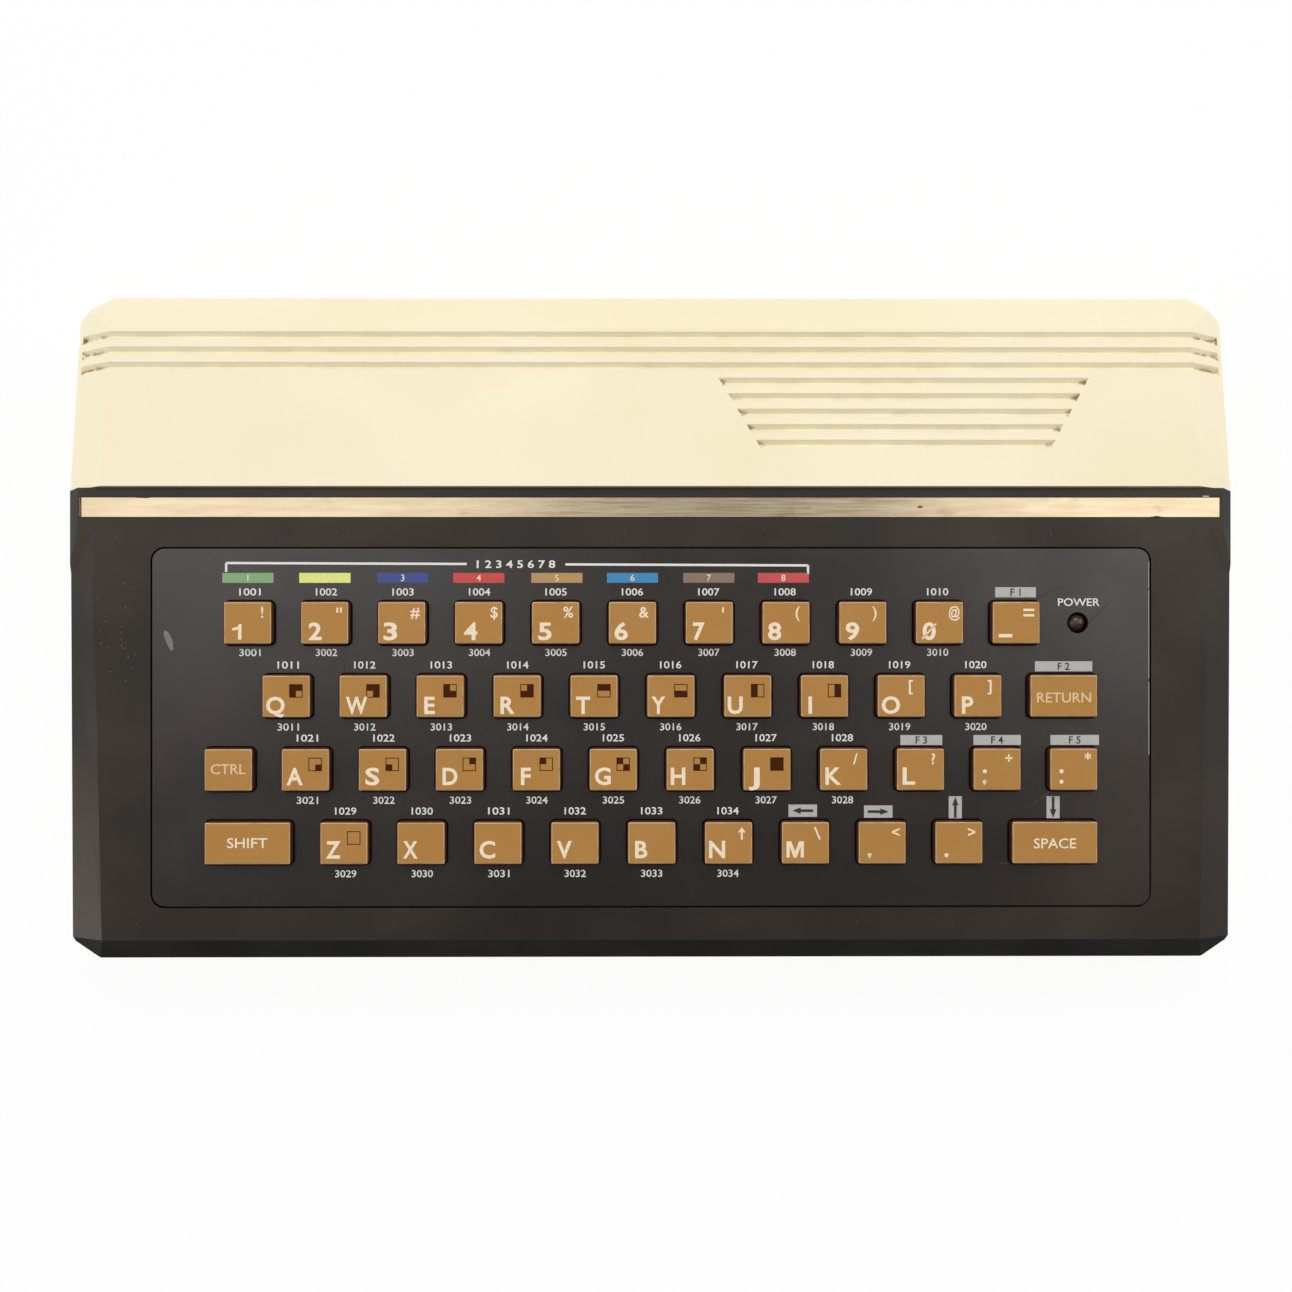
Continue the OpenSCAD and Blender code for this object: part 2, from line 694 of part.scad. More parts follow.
module keyboard_panel() {
    color("#453e39") difference() {
        deck_plate(panel_w, panel_d, panel_r, -panel_t, 0);
        on_deck() translate([0, 0, -panel_t - 1]) linear_extrude(panel_t + 2) {
            for (k = KEYS) translate([k[1], k[2]])
                rounded(k[3] + 2 * key_gap, cap_d + 2 * key_gap, cap_r + key_gap);
            translate([lamp_x, row_v(0)]) circle(lamp_r + 0.15);
        }
    }
}

module key_mat() {
    base_d = cap_d - 2 * base_step;
    color("#4a4642") difference() {
        union() {
            deck_plate(2 * (key_board_x - 4), 2 * (key_board_v - 4), panel_r, -key_board_w, -mat_top);
            on_deck() translate([0, 0, -key_board_w + soft]) linear_extrude(key_board_w - rim_top - soft)
                for (k = KEYS) translate([k[1], k[2]])
                    rounded(k[3] - 2 * base_step + 2 * (run_gap + rim_t), base_d + 2 * (run_gap + rim_t), cap_r + 1);
        }
        on_deck() for (k = KEYS) translate([k[1], k[2], 0]) {
            translate([0, 0, -mat_top]) linear_extrude(key_board_w)
                rounded(k[3] - 2 * base_step + 2 * run_gap, base_d + 2 * run_gap, cap_r);
            translate([0, 0, -key_board_w - 1]) cylinder(r = pill_r + run_gap, h = mat_t + 2);
        }
        on_deck() translate([lamp_x, row_v(0), -key_board_w - 1]) cylinder(r = lamp_r + 1.2, h = mat_t + 2);
    }
}

module keyboard_board() {
    color("#3f6b3a") difference() {
        deck_plate(2 * (key_board_x + key_board_edge), 2 * (key_board_v + key_board_edge), 1.5,
            -board_low, -key_board_w);
        on_deck() for (p = board_screws) translate([p.x, p.y, -board_low - 1]) cylinder(r = small_r + 0.2, h = board_t + 2);
    }
}

module power_lamp() {
    color("#5a2418") on_deck() translate([lamp_x, row_v(0), 0]) {
        translate([0, 0, -key_board_w]) cylinder(r = lamp_r + 0.5, h = 1);
        translate([0, 0, -key_board_w]) cylinder(r = lamp_r, h = key_board_w - lamp_r);
        translate([0, 0, -lamp_r]) sphere(lamp_r);
    }
}

// A key: cap with a chamfered top, flange under the panel, base inside the rubber rim, pill
module key(k) {
    w = k[3];
    rim = [cap_edge, cap_edge_drop];
    color("#b08248") on_deck() translate([k[1], k[2], 0]) {
        intersection() {
            translate([0, 0, -flange_top - soft]) linear_extrude(flange_top + cap_h + soft) rounded(w, cap_d, cap_r);
            rotate([90, 0, 0]) linear_extrude(2 * cap_d, center = true) cap_profile(w / 2, rim);
            rotate([90, 0, 90]) linear_extrude(2 * w, center = true) cap_profile(cap_d / 2, rim);
        }
        translate([0, 0, -flange_low]) linear_extrude(flange_t)
            rounded(w + 2 * flange_w, cap_d + 2 * flange_w, cap_r + flange_w);
        translate([0, 0, -base_low]) linear_extrude(base_low - flange_low + soft)
            rounded(w - 2 * base_step, cap_d - 2 * base_step, cap_r);
        translate([0, 0, -pill_low]) cylinder(r = pill_r, h = pill_low - base_low + soft);
    }
}

module cap_profile(half, rim) {
    polygon([[-half, -key_board_w], [half, -key_board_w], [half, cap_h - rim.y],
             [half - rim.x, cap_h], [rim.x - half, cap_h], [-half, cap_h - rim.y]]);
}

// Boards

module main_board() {
    color("#3f6b3a") difference() {
        box_from([-board_half, board_y0, board_z], [board_half, board_y1, board_top]);
        for (p = inset(both([rear_cut]), wall + board_side / 2)) beyond(p);
        for (p = case_screws) translate([p.x, p.y, 0]) cylinder(r = post_r + 0.5, h = reach / 4);
        for (p = standoffs) translate([p.x, p.y, 0]) cylinder(r = small_r + 0.2, h = reach / 4);
    }
}

// Chips: place, distance from the board's front edge, length, width
chip_w = 14;
chips = concat(
    [for (x = [-1, 1]) [x * (chip_l / 2 + standoff_r + 5), chip_row_c, chip_l, chip_w]],
    [for (i = [-2 : 2]) [i * chip_m_pitch, chip_row_b, chip_m, chip_w]],
    [for (i = [-2.5 : 2.5]) [i * chip_s_pitch, chip_row_a, chip_s, chip_w / 2]]
);

module board_components() {
    header_h = 8.5;
    header_y = board_y0 + 6;
    ribbon_x = -28;
    can_x = board_half - can_inset;
    cans = [[-can_x, chip_row_b + 2.5 * can_r], [-can_x, chip_row_c + can_r], [can_x, chip_row_a], [can_x, chip_row_b]];
    color("#262523") for (c = chips)
        translate([c[0], board_y0 + c[1], board_top + chip_h / 2]) cube([c[2], c[3], chip_h], center = true);
    color("#30507a") for (c = cans)
        translate([c.x, board_y0 + c.y, board_top]) cylinder(r = can_r, h = 2.6 * can_r);
    color("silver") translate([standoff_x - sink_w, board_y0 + chip_row_c, board_top]) difference() {
        translate([-sink_w / 2, -chip_w / 2, 0]) cube([sink_w, chip_w, sink_h]);
        for (i = [-2 : 2]) translate([i * sink_w / 5.3, 0, sink_h / 4 + sink_h / 2])
            cube([sink_w / 9, chip_w + 2, sink_h], center = true);
    }
    color("#d7c06a") translate([-can_x, board_y0 + chip_row_a + 5, board_top]) cylinder(r = sounder_r, h = chip_h);
    // The ribbon from the main board up to the keyboard's board, with a connector at each end
    ribbon_v = (header_y - deck_o.y) / cos_s - board_low * tan(deck_slope);
    plug_low = deck(0, ribbon_v, -board_low - 3);
    color("#ece6d8") {
        box_from([ribbon_x - plug_w / 2, header_y - 2.5, board_top],
            [ribbon_x + plug_w / 2, header_y + 2.5, board_top + header_h]);
        on_deck() translate([ribbon_x, ribbon_v, -board_low - 1.5]) cube([plug_w, 5, 3], center = true);
    }
    color("#b9b4a8") translate([ribbon_x - plug_w / 2 + 2, 0, 0]) rotate([90, 0, 90]) linear_extrude(plug_w - 4)
        polygon([[header_y - 0.3, board_top + header_h], [header_y + 0.3, board_top + header_h],
                 [plug_low.y + 0.3, plug_low.z - 0.1], [plug_low.y - 0.3, plug_low.z - 0.1]]);
}

// A screened socket: a barrel with a flange against its block and a bore for the plug's pin
module screened_socket(x, block_w, block_d, block_h, tint) {
    color(tint) box_from([x - block_w / 2, socket_y - block_d, board_top], [x + block_w / 2, socket_y, board_top + block_h]);
    color("silver") difference() {
        translate([x, socket_y, socket_z]) rotate([-90, 0, 0])
            cylinder(r = barrel_r, h = y_rear + barrel_out - socket_y);
        translate([x, y_rear, socket_z]) rotate([-90, 0, 0]) cylinder(r = barrel_bore, h = 2 * barrel_out);
    }
}

// A plain jack: a block on the board with a sleeve through the rear wall
module jack(x, bore, pin) {
    depth = 12;
    color("#262523") {
        difference() {
            union() {
                box_from([x - jack_w / 2, socket_y - 14, board_top],
                    [x + jack_w / 2, socket_y, board_top + 2 * (jack_z - board_top)]);
                translate([x, socket_y - 1, jack_z]) rotate([-90, 0, 0])
                    cylinder(r = sleeve_r, h = y_rear - socket_y + 1 - 0.2);
            }
            translate([x, y_rear - depth - 0.2, jack_z]) rotate([-90, 0, 0]) cylinder(r = bore, h = depth + 1);
        }
        if (pin > 0) translate([x, y_rear - depth - 0.2 - soft, jack_z]) rotate([-90, 0, 0]) cylinder(r = pin, h = depth - 1.5);
    }
}

module switch_body() {
    body_l = stem_l + switch_travel + 12;
    color("#9a9a96") difference() {
        box_from([switch_skin - 0.3 - 8, switch_y - body_l / 2, board_top],
            [switch_skin - 0.3, switch_y + body_l / 2, switch_z + 5.5]);
        translate([switch_skin - 0.3, switch_y, switch_z])
            cube([12, stem_l + switch_travel + 2 * run_gap, stem_h + 2 * run_gap], center = true);
    }
}

module board_sockets() {
    screened_socket(tv_x, tv_can_w, 24, 18, "#c9c9c4");
    screened_socket(video_x, video_block_w, 12, 14, "#262523");
    jack(tape_x, tape_bore, 0);
    jack(dc_x, dc_bore, dc_pin);
    switch_body();
}

// The knob is drawn at the rear end of its travel
module switch_knob() {
    knob_y = switch_y + switch_travel / 2;
    cap_low = half_w - recess_d + run_gap;
    cap_high = half_w - 0.3;
    color("#2a2725") {
        box_from([switch_skin - 5, knob_y - stem_l / 2, switch_z - stem_h / 2],
            [cap_low + soft, knob_y + stem_l / 2, switch_z + stem_h / 2]);
        difference() {
            box_from([cap_low, knob_y - knob_l / 2, switch_z - knob_h / 2], [cap_high, knob_y + knob_l / 2, switch_z + knob_h / 2]);
            for (i = [-2 : 2]) translate([cap_high, knob_y + i * 1.4, switch_z]) cube([0.8, 0.6, knob_h + 2], center = true);
        }
    }
}

// Small pieces

module feet() {
    color("#2b2927") for (x = [-foot_x, foot_x]) for (y = [foot_y0, foot_y1]) translate([x, y, 0]) {
        cylinder(r1 = foot_r - 0.8, r2 = foot_r, h = 0.8);
        translate([0, 0, 0.8]) cylinder(r = foot_r, h = foot_h + foot_sink - 0.8);
    }
}

// A pan-head screw that points up, with a cross recess, its head's upper face at the origin
module screw(head, head_high, shank, length) {
    translate([0, 0, -soft]) cylinder(r = shank, h = length + soft);
    difference() {
        translate([0, 0, -head_high]) cylinder(r = head, h = head_high);
        for (a = [0, 90]) rotate([0, 0, a])
            translate([0, 0, -head_high]) cube([1.3 * head, 0.7, 1.4], center = true);
    }
}

module screws() {
    color("silver") {
        for (p = case_screws) translate([p.x, p.y, head_top]) screw(head_r, head_h, screw_r, screw_len);
        for (p = standoffs)
            translate([p.x, p.y, board_top]) mirror([0, 0, 1]) screw(small_head_r, 1.5, small_r, small_len);
        on_deck() for (p = board_screws)
            translate([p.x, p.y, -board_low]) screw(small_head_r, 1.5, small_r, small_len);
    }
}

// A cover: a plate flush with the rear wall and two catches that hold it from behind
module expansion_cover(x, w) {
    catch_w = 8;
    behind = y_rear - wall - 0.2;
    box_from([x - w / 2 + 0.25, y_rear - 1.8, expansion_z - expansion_h / 2 + 0.25],
        [x + w / 2 - 0.25, y_rear, expansion_z + expansion_h / 2 - 0.25]);
    for (side = [-1, 1]) translate([x + side * w / 4 - catch_w / 2, 0, expansion_z + expansion_h / 2]) {
        box_from([0, behind - 1.4, -2.2], [catch_w, y_rear - 1, -0.25]);
        box_from([0, behind - 1.4, -2.2], [catch_w, behind, 0.9]);
    }
}

module expansion_covers() {
    color("#e9dfbf") {
        expansion_cover(expansion_x, expansion_w);
        expansion_cover(expansion2_x, expansion2_w);
    }
}

lower_shell();
keyboard_housing();
rear_cover();
trim_strip();
keyboard_panel();
key_mat();
keyboard_board();
main_board();
board_components();
board_sockets();
switch_knob();
power_lamp();
feet();
screws();
expansion_covers();
for (k = KEYS) key(k);
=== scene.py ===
"""Looks of the home computer: materials, printed legends, wear, light and camera."""

import json
import math
import random
from contextlib import contextmanager

import bmesh
import bpy
from mathutils import Matrix, Vector


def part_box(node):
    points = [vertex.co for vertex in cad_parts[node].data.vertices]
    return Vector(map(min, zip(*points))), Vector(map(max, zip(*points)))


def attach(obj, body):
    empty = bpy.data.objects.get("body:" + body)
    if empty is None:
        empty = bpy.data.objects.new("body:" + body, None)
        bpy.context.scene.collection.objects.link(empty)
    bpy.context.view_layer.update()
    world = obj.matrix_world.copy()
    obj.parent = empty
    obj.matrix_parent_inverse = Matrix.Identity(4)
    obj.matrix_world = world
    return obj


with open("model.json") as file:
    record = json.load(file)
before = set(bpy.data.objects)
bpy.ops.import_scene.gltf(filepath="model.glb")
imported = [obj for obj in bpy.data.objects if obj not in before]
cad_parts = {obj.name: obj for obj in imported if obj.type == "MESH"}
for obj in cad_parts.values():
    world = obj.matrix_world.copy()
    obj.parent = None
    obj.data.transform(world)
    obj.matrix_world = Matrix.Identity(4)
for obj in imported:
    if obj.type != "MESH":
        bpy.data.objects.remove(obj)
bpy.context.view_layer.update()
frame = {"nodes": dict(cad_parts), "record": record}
scene = bpy.context.scene
nodes = frame["nodes"]
MM = 0.001

# ---------------------------------------------------------------- deck

# Lengths are in millimetres and repeat the CAD source: x to the right, v up the slope, w out of it.
SLOPE = math.radians(9.5)
PANEL_T = 1.6
STRIP_TOP = 0.1
STRIP_V = 54.7
STRIP_W = 4.8
KEY_PITCH = 19.0
ROW_PITCH = 18.15
TOP_ROW_V = 25.95
CAP_H = 2.5
CAP_D = 10.7

RIGHT = Vector((1, 0, 0))
UPHILL = Vector((0, math.cos(SLOPE), math.sin(SLOPE)))
OUT = Vector((0, -math.sin(SLOPE), math.cos(SLOPE)))
# Outwards from the small slanted faces where the strip's band ends.
BAND_RAMP = (OUT * 3 - UPHILL).normalized()
panel_low, panel_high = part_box("keyboard_panel")
DECK_O = (panel_low + panel_high) / 2 + OUT * (PANEL_T / 2 * MM)


def deck(x, v, w=0.0):
    """A point of the deck's frame as a place in the row frame."""
    return DECK_O + (RIGHT * x + UPHILL * v + OUT * w) * MM


def middle_x(node):
    """The middle of a CAD node across the deck, in millimetres."""
    low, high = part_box(node)
    return (low.x + high.x) / 2 / MM


# ---------------------------------------------------------------- materials


class Surface:
    """A Principled material and the nodes that vary it, measured in metres on the object."""

    def __init__(self, name, color, roughness, metallic=0.0, ior=1.5, **sockets):
        self.material = bpy.data.materials.new(name)
        self.material.use_nodes = True
        self.tree = self.material.node_tree
        self.shader = self.tree.nodes["Principled BSDF"]
        self.set("Base Color", (*color, 1))
        self.set("Roughness", roughness)
        self.set("Metallic", metallic)
        self.set("IOR", ior)
        for socket, value in sockets.items():
            self.set(socket.replace("_", " "), value)
        self.coords = self.tree.nodes.new("ShaderNodeTexCoord")
        self.height = None

    def set(self, socket, value):
        """Sets one of the shader's own values."""
        self.shader.inputs[socket].default_value = value

    def add(self, kind, inputs=(), **settings):
        """A new node; each input is a value or a socket to link from."""
        node = self.tree.nodes.new(kind)
        for setting, value in settings.items():
            setattr(node, setting, value)
        for socket, value in dict(inputs).items():
            if isinstance(value, bpy.types.NodeSocket):
                self.tree.links.new(value, node.inputs[socket])
            else:
                node.inputs[socket].default_value = value
        return node

    def math(self, operation, a, b=0.0, c=0.0):
        """The outcome of one operation on values or sockets."""
        node = self.add("ShaderNodeMath", {0: a, 1: b, 2: c}, operation=operation)
        return node.outputs[0]

    def place(self, stretch=(1, 1, 1)):
        """Object coordinates, squeezed along each axis by stretch."""
        return self.add(
            "ShaderNodeMapping", {"Vector": self.coords.outputs["Object"], "Scale": stretch}
        ).outputs[0]

    def noise(self, size, detail=2.0, stretch=(1, 1, 1), rough=0.5):
        """Noise whose blotches are about size millimetres across."""
        node = self.add(
            "ShaderNodeTexNoise",
            {"Vector": self.place(stretch), "Scale": 1 / (size * MM), "Detail": detail,
             "Roughness": rough},
        )
        return node.outputs[0]

    def between(self, value, low, high, to_low=0.0, to_high=1.0):
        """Value from low..high, smoothly to to_low..to_high."""
        node = self.add(
            "ShaderNodeMapRange",
            {"Value": value, "From Min": low, "From Max": high, "To Min": to_low,
             "To Max": to_high},
            interpolation_type="SMOOTHSTEP",
        )
        return node.outputs[0]

    def mix(self, amount, a, b):
        """A colour from a to b; each is a colour or a socket."""
        node = self.add("ShaderNodeMix", data_type="RGBA")
        for index, value in ((0, amount), (6, a), (7, b)):
            if isinstance(value, bpy.types.NodeSocket):
                self.tree.links.new(value, node.inputs[index])
            elif index == 0:
                node.inputs[index].default_value = value
            else:
                node.inputs[index].default_value = (*value, 1)
        return node.outputs[2]

    def axis(self, name):
        """One coordinate of the place on the object, in metres."""
        return self.add("ShaderNodeSeparateXYZ", {0: self.coords.outputs["Object"]}).outputs[name]

    def facing(self, direction):
        """How far the surface faces a direction of the object, from -1 to 1."""
        node = self.add(
            "ShaderNodeVectorMath",
            {0: self.coords.outputs["Normal"], 1: direction},
            operation="DOT_PRODUCT",
        )
        return node.outputs["Value"]

    def over_deck(self):
        """The height over the deck, in millimetres."""
        place = self.add(
            "ShaderNodeVectorMath",
            {0: self.coords.outputs["Object"], 1: tuple(DECK_O)},
            operation="SUBTRACT",
        )
        height = self.add(
            "ShaderNodeVectorMath",
            {0: place.outputs[0], 1: tuple(OUT / MM)},
            operation="DOT_PRODUCT",
        )
        return height.outputs["Value"]

    def sheltered(self, reach):
        """1 in a corner or a groove that is about reach millimetres wide, 0 in the open."""
        open_air = self.add(
            "ShaderNodeAmbientOcclusion", {"Distance": reach * MM}, samples=8, only_local=True
        )
        return self.math("SUBTRACT", 1.0, open_air.outputs["AO"])

    def color(self, socket):
        self.tree.links.new(socket, self.shader.inputs["Base Color"])

    def roughness(self, socket):
        self.tree.links.new(socket, self.shader.inputs["Roughness"])

    def bump(self, height, depth):
        """Relief of depth millimetres, from a height of 0 to 1."""
        node = self.add(
            "ShaderNodeBump", {"Height": height, "Distance": depth * MM, "Strength": 1.0}
        )
        if self.height is not None:
            self.tree.links.new(self.height, node.inputs["Normal"])
        self.height = node.outputs[0]
        self.tree.links.new(self.height, self.shader.inputs["Normal"])


CREAM = (0.92, 0.835, 0.60)
CREAM_WARM = (0.88, 0.775, 0.505)
CREAM_SIDE_LIT = (1.0, 0.915, 0.665)
CREAM_DIRT_AND_SHADE = (0.36, 0.24, 0.09)
DARK = (0.0420, 0.0305, 0.0210)
DARK_SHADE = (0.0042, 0.0031, 0.0020)
PANEL_DARK = (0.0200, 0.0118, 0.0060)
PANEL_SHEEN = (0.036, 0.025, 0.0165)
LEFT_BEVEL_LIT = (0.080, 0.067, 0.056)
DUST = (0.09, 0.08, 0.066)
RAMP_LIT = (0.062, 0.047, 0.034)
SEAM_SHADE = (0.0025, 0.0012, 0.0006)
GOLD = (0.63, 0.505, 0.325)
GOLD_DEEP = (0.58, 0.455, 0.275)
GOLD_PALE = (0.70, 0.575, 0.39)
GOLD_WORN = (0.76, 0.63, 0.43)
GOLD_STAIN = (0.42, 0.30, 0.15)
TAN = (0.435, 0.208, 0.041)
TAN_RIM = (0.66, 0.46, 0.25)
TAN_PALE = (0.46, 0.235, 0.066)
KEY_SKIRT_SHADE = (0.055, 0.012, 0.003)
LENS_DARK = (0.040, 0.018, 0.008)
LENS_PALE = (0.085, 0.042, 0.018)
BOARD_GREEN = (0.012, 0.10, 0.028)
TRACK_GREEN = (0.03, 0.19, 0.055)
INK = (0.92, 0.78, 0.57)


# The grooves, in metres. The short ones: their middle, their rear edge, the length there, and how
# much each end moves outwards for every metre towards the rear. The long ones: where their dirt
# starts and where it is full.
SHORT_X = 0.0634
SHORT_Y = 0.0565
SHORT_LEN = 0.0932
SHORT_SLANT = 2.3 / 4.04
LONG_END = (0.136, 0.1395)


def groove_ends(s):
    """1 at the ends of the long grooves and of the short ones, 0 elsewhere."""
    from_middle = s.math("ABSOLUTE", s.math("SUBTRACT", s.axis("X"), SHORT_X))
    rearwards = s.math("SUBTRACT", s.axis("Y"), SHORT_Y)
    half = s.math("MULTIPLY_ADD", rearwards, SHORT_SLANT, SHORT_LEN / 2)
    at_end = s.between(s.math("SUBTRACT", from_middle, half), -0.0035, -0.0004)
    in_front = s.between(s.axis("Y"), SHORT_Y + 0.0006, SHORT_Y)
    long_end = s.between(s.math("ABSOLUTE", s.axis("X")), *LONG_END)
    return s.math("MAXIMUM", long_end, s.math("MULTIPLY", at_end, in_front))


def cream_plastic():
    """Cream shell: yellowed in patches, with painted light down its sides, dirt and painted shade
    in its grooves and corners, and dirt in the grooves' ends.
    """
    s = Surface("cream", CREAM, 0.5)
    yellowing = s.between(s.noise(60, 3), 0.35, 0.7, 0.0, 0.55)
    skin = s.mix(yellowing, CREAM, CREAM_WARM)
    # Painted light: the faces down the left and right sides are paler.
    for way, side_light in ((-1, 0.9), (1, 0.45)):
        skin = s.mix(s.between(s.facing((way, 0, 0)), 0.15, 0.4, 0.0, side_light), skin, CREAM_SIDE_LIT)
    # Dirt and painted shade: grooves and corners are darker, in blotches.
    grime_and_shade = s.math("MULTIPLY", s.sheltered(2.2), s.between(s.noise(7, 4), 0.3, 0.75, 0.1, 0.55))
    skin = s.mix(grime_and_shade, skin, CREAM_DIRT_AND_SHADE)
    patches = s.between(s.noise(1.6, 3), 0.4, 0.58)
    caught = s.math("MULTIPLY", s.between(s.sheltered(1.6), 0.1, 0.42), patches)
    s.color(s.mix(s.math("MULTIPLY", groove_ends(s), caught), skin, CREAM_DIRT_AND_SHADE))
    s.roughness(s.between(s.noise(30, 2), 0.3, 0.7, 0.44, 0.58))
    s.bump(s.noise(0.7, 3), 0.02)
    return s.material


# The dark pieces' painted light and shade, in metres from the object's middle: where their colour
# turns to the painted sheen of their sides, where the deck's middle is painted darker, and how far
# forward that and the left bevel's painted light start and are full.
SHEEN_ACROSS = (0.085, 0.12)
MIDDLE = (0.11, 0.03)
MIDDLE_NEAR = (-0.02, -0.065)
LEFT_NEAR = (-0.02, -0.085)
FRONT_DULLER = 0.42


def dark_plastic(name, color, sheen, gloss, grain, ior):
    """Dark brown textured plastic, with sheen as its colour towards the left and right, a painted
    sheen. Its roughness varies within gloss. Its level faces keep their colour in a blotchy haze of
    wear, while its other faces are painted darker as shade, and the left bevel is painted lighter
    towards the front. It has dust in its texture and painted shade in its seams. The front bevel
    and the deck's middle towards the front are painted darker as shade, the front bevel is duller,
    and the small slanted faces where the band ends are painted lighter.
    """
    s = Surface(name, color, 0.5, ior=ior)
    # Painted shade: faces that aren't level are darker; level faces keep their colour in a blotchy
    # haze of wear.
    level = s.between(s.facing(tuple(OUT)), 0.7, 0.95)
    wear_and_light = s.math("MULTIPLY", level, s.between(s.noise(38, 4), 0.3, 0.75, 0.45, 1.0))
    # Painted sheen: towards the left and right the colour turns to the sheen colour.
    across = s.math("ABSOLUTE", s.axis("X"))
    skin = s.mix(wear_and_light, DARK_SHADE, s.mix(s.between(across, *SHEEN_ACROSS), color, sheen))
    # Painted light: the left bevel is lighter towards the front.
    left = s.between(s.facing((-1, 0, 0)), 0.25, 0.42)
    near = s.between(s.axis("Y"), *LEFT_NEAR)
    skin = s.mix(s.math("MULTIPLY", left, near), skin, LEFT_BEVEL_LIT)
    # Painted shade: the deck's middle towards the front, and the front bevel, are darker.
    nearer = s.between(s.axis("Y"), *MIDDLE_NEAR, 0.0, 0.4)
    middle = s.math("MULTIPLY", s.between(across, *MIDDLE), nearer)
    front = s.between(s.facing(tuple(-UPHILL)), 0.2, 0.42, 0.0, 0.85)
    skin = s.mix(s.math("MAXIMUM", middle, front), skin, DARK_SHADE)
    # Painted light: the slanted faces where the band ends are lighter, to even out their shade.
    ramp_lit = s.between(s.facing(tuple(BAND_RAMP)), 0.985, 0.998)
    skin = s.mix(ramp_lit, skin, RAMP_LIT)
    dust = s.between(s.noise(1.3, 2, rough=0.7), 0.73, 0.78, 0.0, 0.4)
    skin = s.mix(dust, skin, DUST)
    # Painted shade in seams and corners.
    s.color(s.mix(s.between(s.sheltered(2.0), 0.12, 0.4), skin, SEAM_SHADE))
    plain_roughness = s.between(s.noise(22, 3), 0.3, 0.7, *gloss)
    s.roughness(s.math("MULTIPLY_ADD", front, FRONT_DULLER, plain_roughness))
    s.bump(s.noise(grain, 3, rough=0.6), 0.016)
    return s.material


def gold_strip():
    """Gold anodised strip, brushed along its length and stained in places."""
    s = Surface("gold", GOLD, 0.2, metallic=1.0)
    brushing = s.noise(0.5, 4, stretch=(0.03, 1, 1), rough=0.75)
    lines = s.between(brushing, 0.3, 0.7)
    tint = s.mix(lines, GOLD_DEEP, GOLD_PALE)
    cloud = s.between(s.noise(1.6, 4, stretch=(0.12, 1, 1)), 0.35, 0.65, 0.0, 0.6)
    tint = s.mix(cloud, tint, GOLD_WORN)
    stain = s.between(s.noise(5, 4, stretch=(0.4, 1, 1)), 0.6, 0.72, 0.0, 0.45)
    s.color(s.mix(stain, tint, GOLD_STAIN))
    s.roughness(s.between(lines, 0, 1, 0.16, 0.26))
    s.bump(lines, 0.003)
    return s.material


# How far under a key's top the painted shade of its skirt starts, and where it is full.
SKIRT_FROM = 0.15
SKIRT_FULL = 0.21


def key_rubber():
    """Tan rubber, paler in patches, with a painted highlight and wear on the rim of the top, and
    painted shade below the rim.
    """
    s = Surface("key", TAN, 0.6, ior=1.45)
    facing_out = s.facing(tuple(OUT))
    # Painted shade: the key's side below the rim takes the dark colour of its skirt.
    below = s.between(s.over_deck(), CAP_H - SKIRT_FROM, CAP_H - SKIRT_FULL)
    # Painted highlight and wear: the chamfered rim of the top is paler, in patches.
    rim = s.math("MULTIPLY", s.between(facing_out, 0.998, 0.93), s.between(facing_out, 0.3, 0.6))
    patches = s.between(s.noise(9, 3), 0.35, 0.7, 0.0, 0.3)
    top = s.mix(patches, TAN, TAN_PALE)
    wear_and_light = s.math("MULTIPLY", rim, s.between(s.noise(3, 3), 0.3, 0.6, 0.35, 0.95))
    s.color(s.mix(below, s.mix(wear_and_light, top, TAN_RIM), KEY_SKIRT_SHADE))
    s.roughness(s.between(s.noise(14, 2), 0.3, 0.7, 0.52, 0.68))
    s.bump(s.noise(0.5, 3), 0.012)
    return s.material


def plain(name, color, roughness, size, spread=0.2, depth=0.01, **more):
    """A plain material whose shade varies a little over blotches of size millimetres."""
    s = Surface(name, color, roughness, **more)
    light = tuple(min(1.0, c * (1 + spread)) for c in color)
    dim = tuple(c * (1 - spread) for c in color)
    s.color(s.mix(s.between(s.noise(size, 3), 0.3, 0.7), dim, light))
    s.roughness(s.between(s.noise(size * 0.6, 2), 0.3, 0.7, roughness * 0.85, roughness * 1.15))
    s.bump(s.noise(size * 0.08, 3), depth)
    return s.material


def circuit_board():
    """Green solder mask with the faint lines of its copper tracks."""
    s = Surface("circuit", BOARD_GREEN, 0.35)
    tracks = s.add(
        "ShaderNodeTexBrick",
        {"Vector": s.place((1, 1, 0)), "Scale": 1 / (5 * MM), "Mortar Size": 0.06,
         "Mortar": (1, 1, 1, 1), "Color1": (0, 0, 0, 1), "Color2": (0, 0, 0, 1)},
    ).outputs[0]
    s.color(s.mix(tracks, BOARD_GREEN, TRACK_GREEN))
    s.bump(s.noise(2, 2), 0.01)
    return s.material


def lamp_lens():
    """Dark red-brown lens, a little clear."""
    s = Surface("lens", (0.055, 0.026, 0.012), 0.3, ior=1.49, Transmission_Weight=0.25)
    s.color(s.mix(s.between(s.noise(2.2, 3), 0.35, 0.65), LENS_DARK, LENS_PALE))
    s.bump(s.noise(1.2, 2), 0.01)
    return s.material


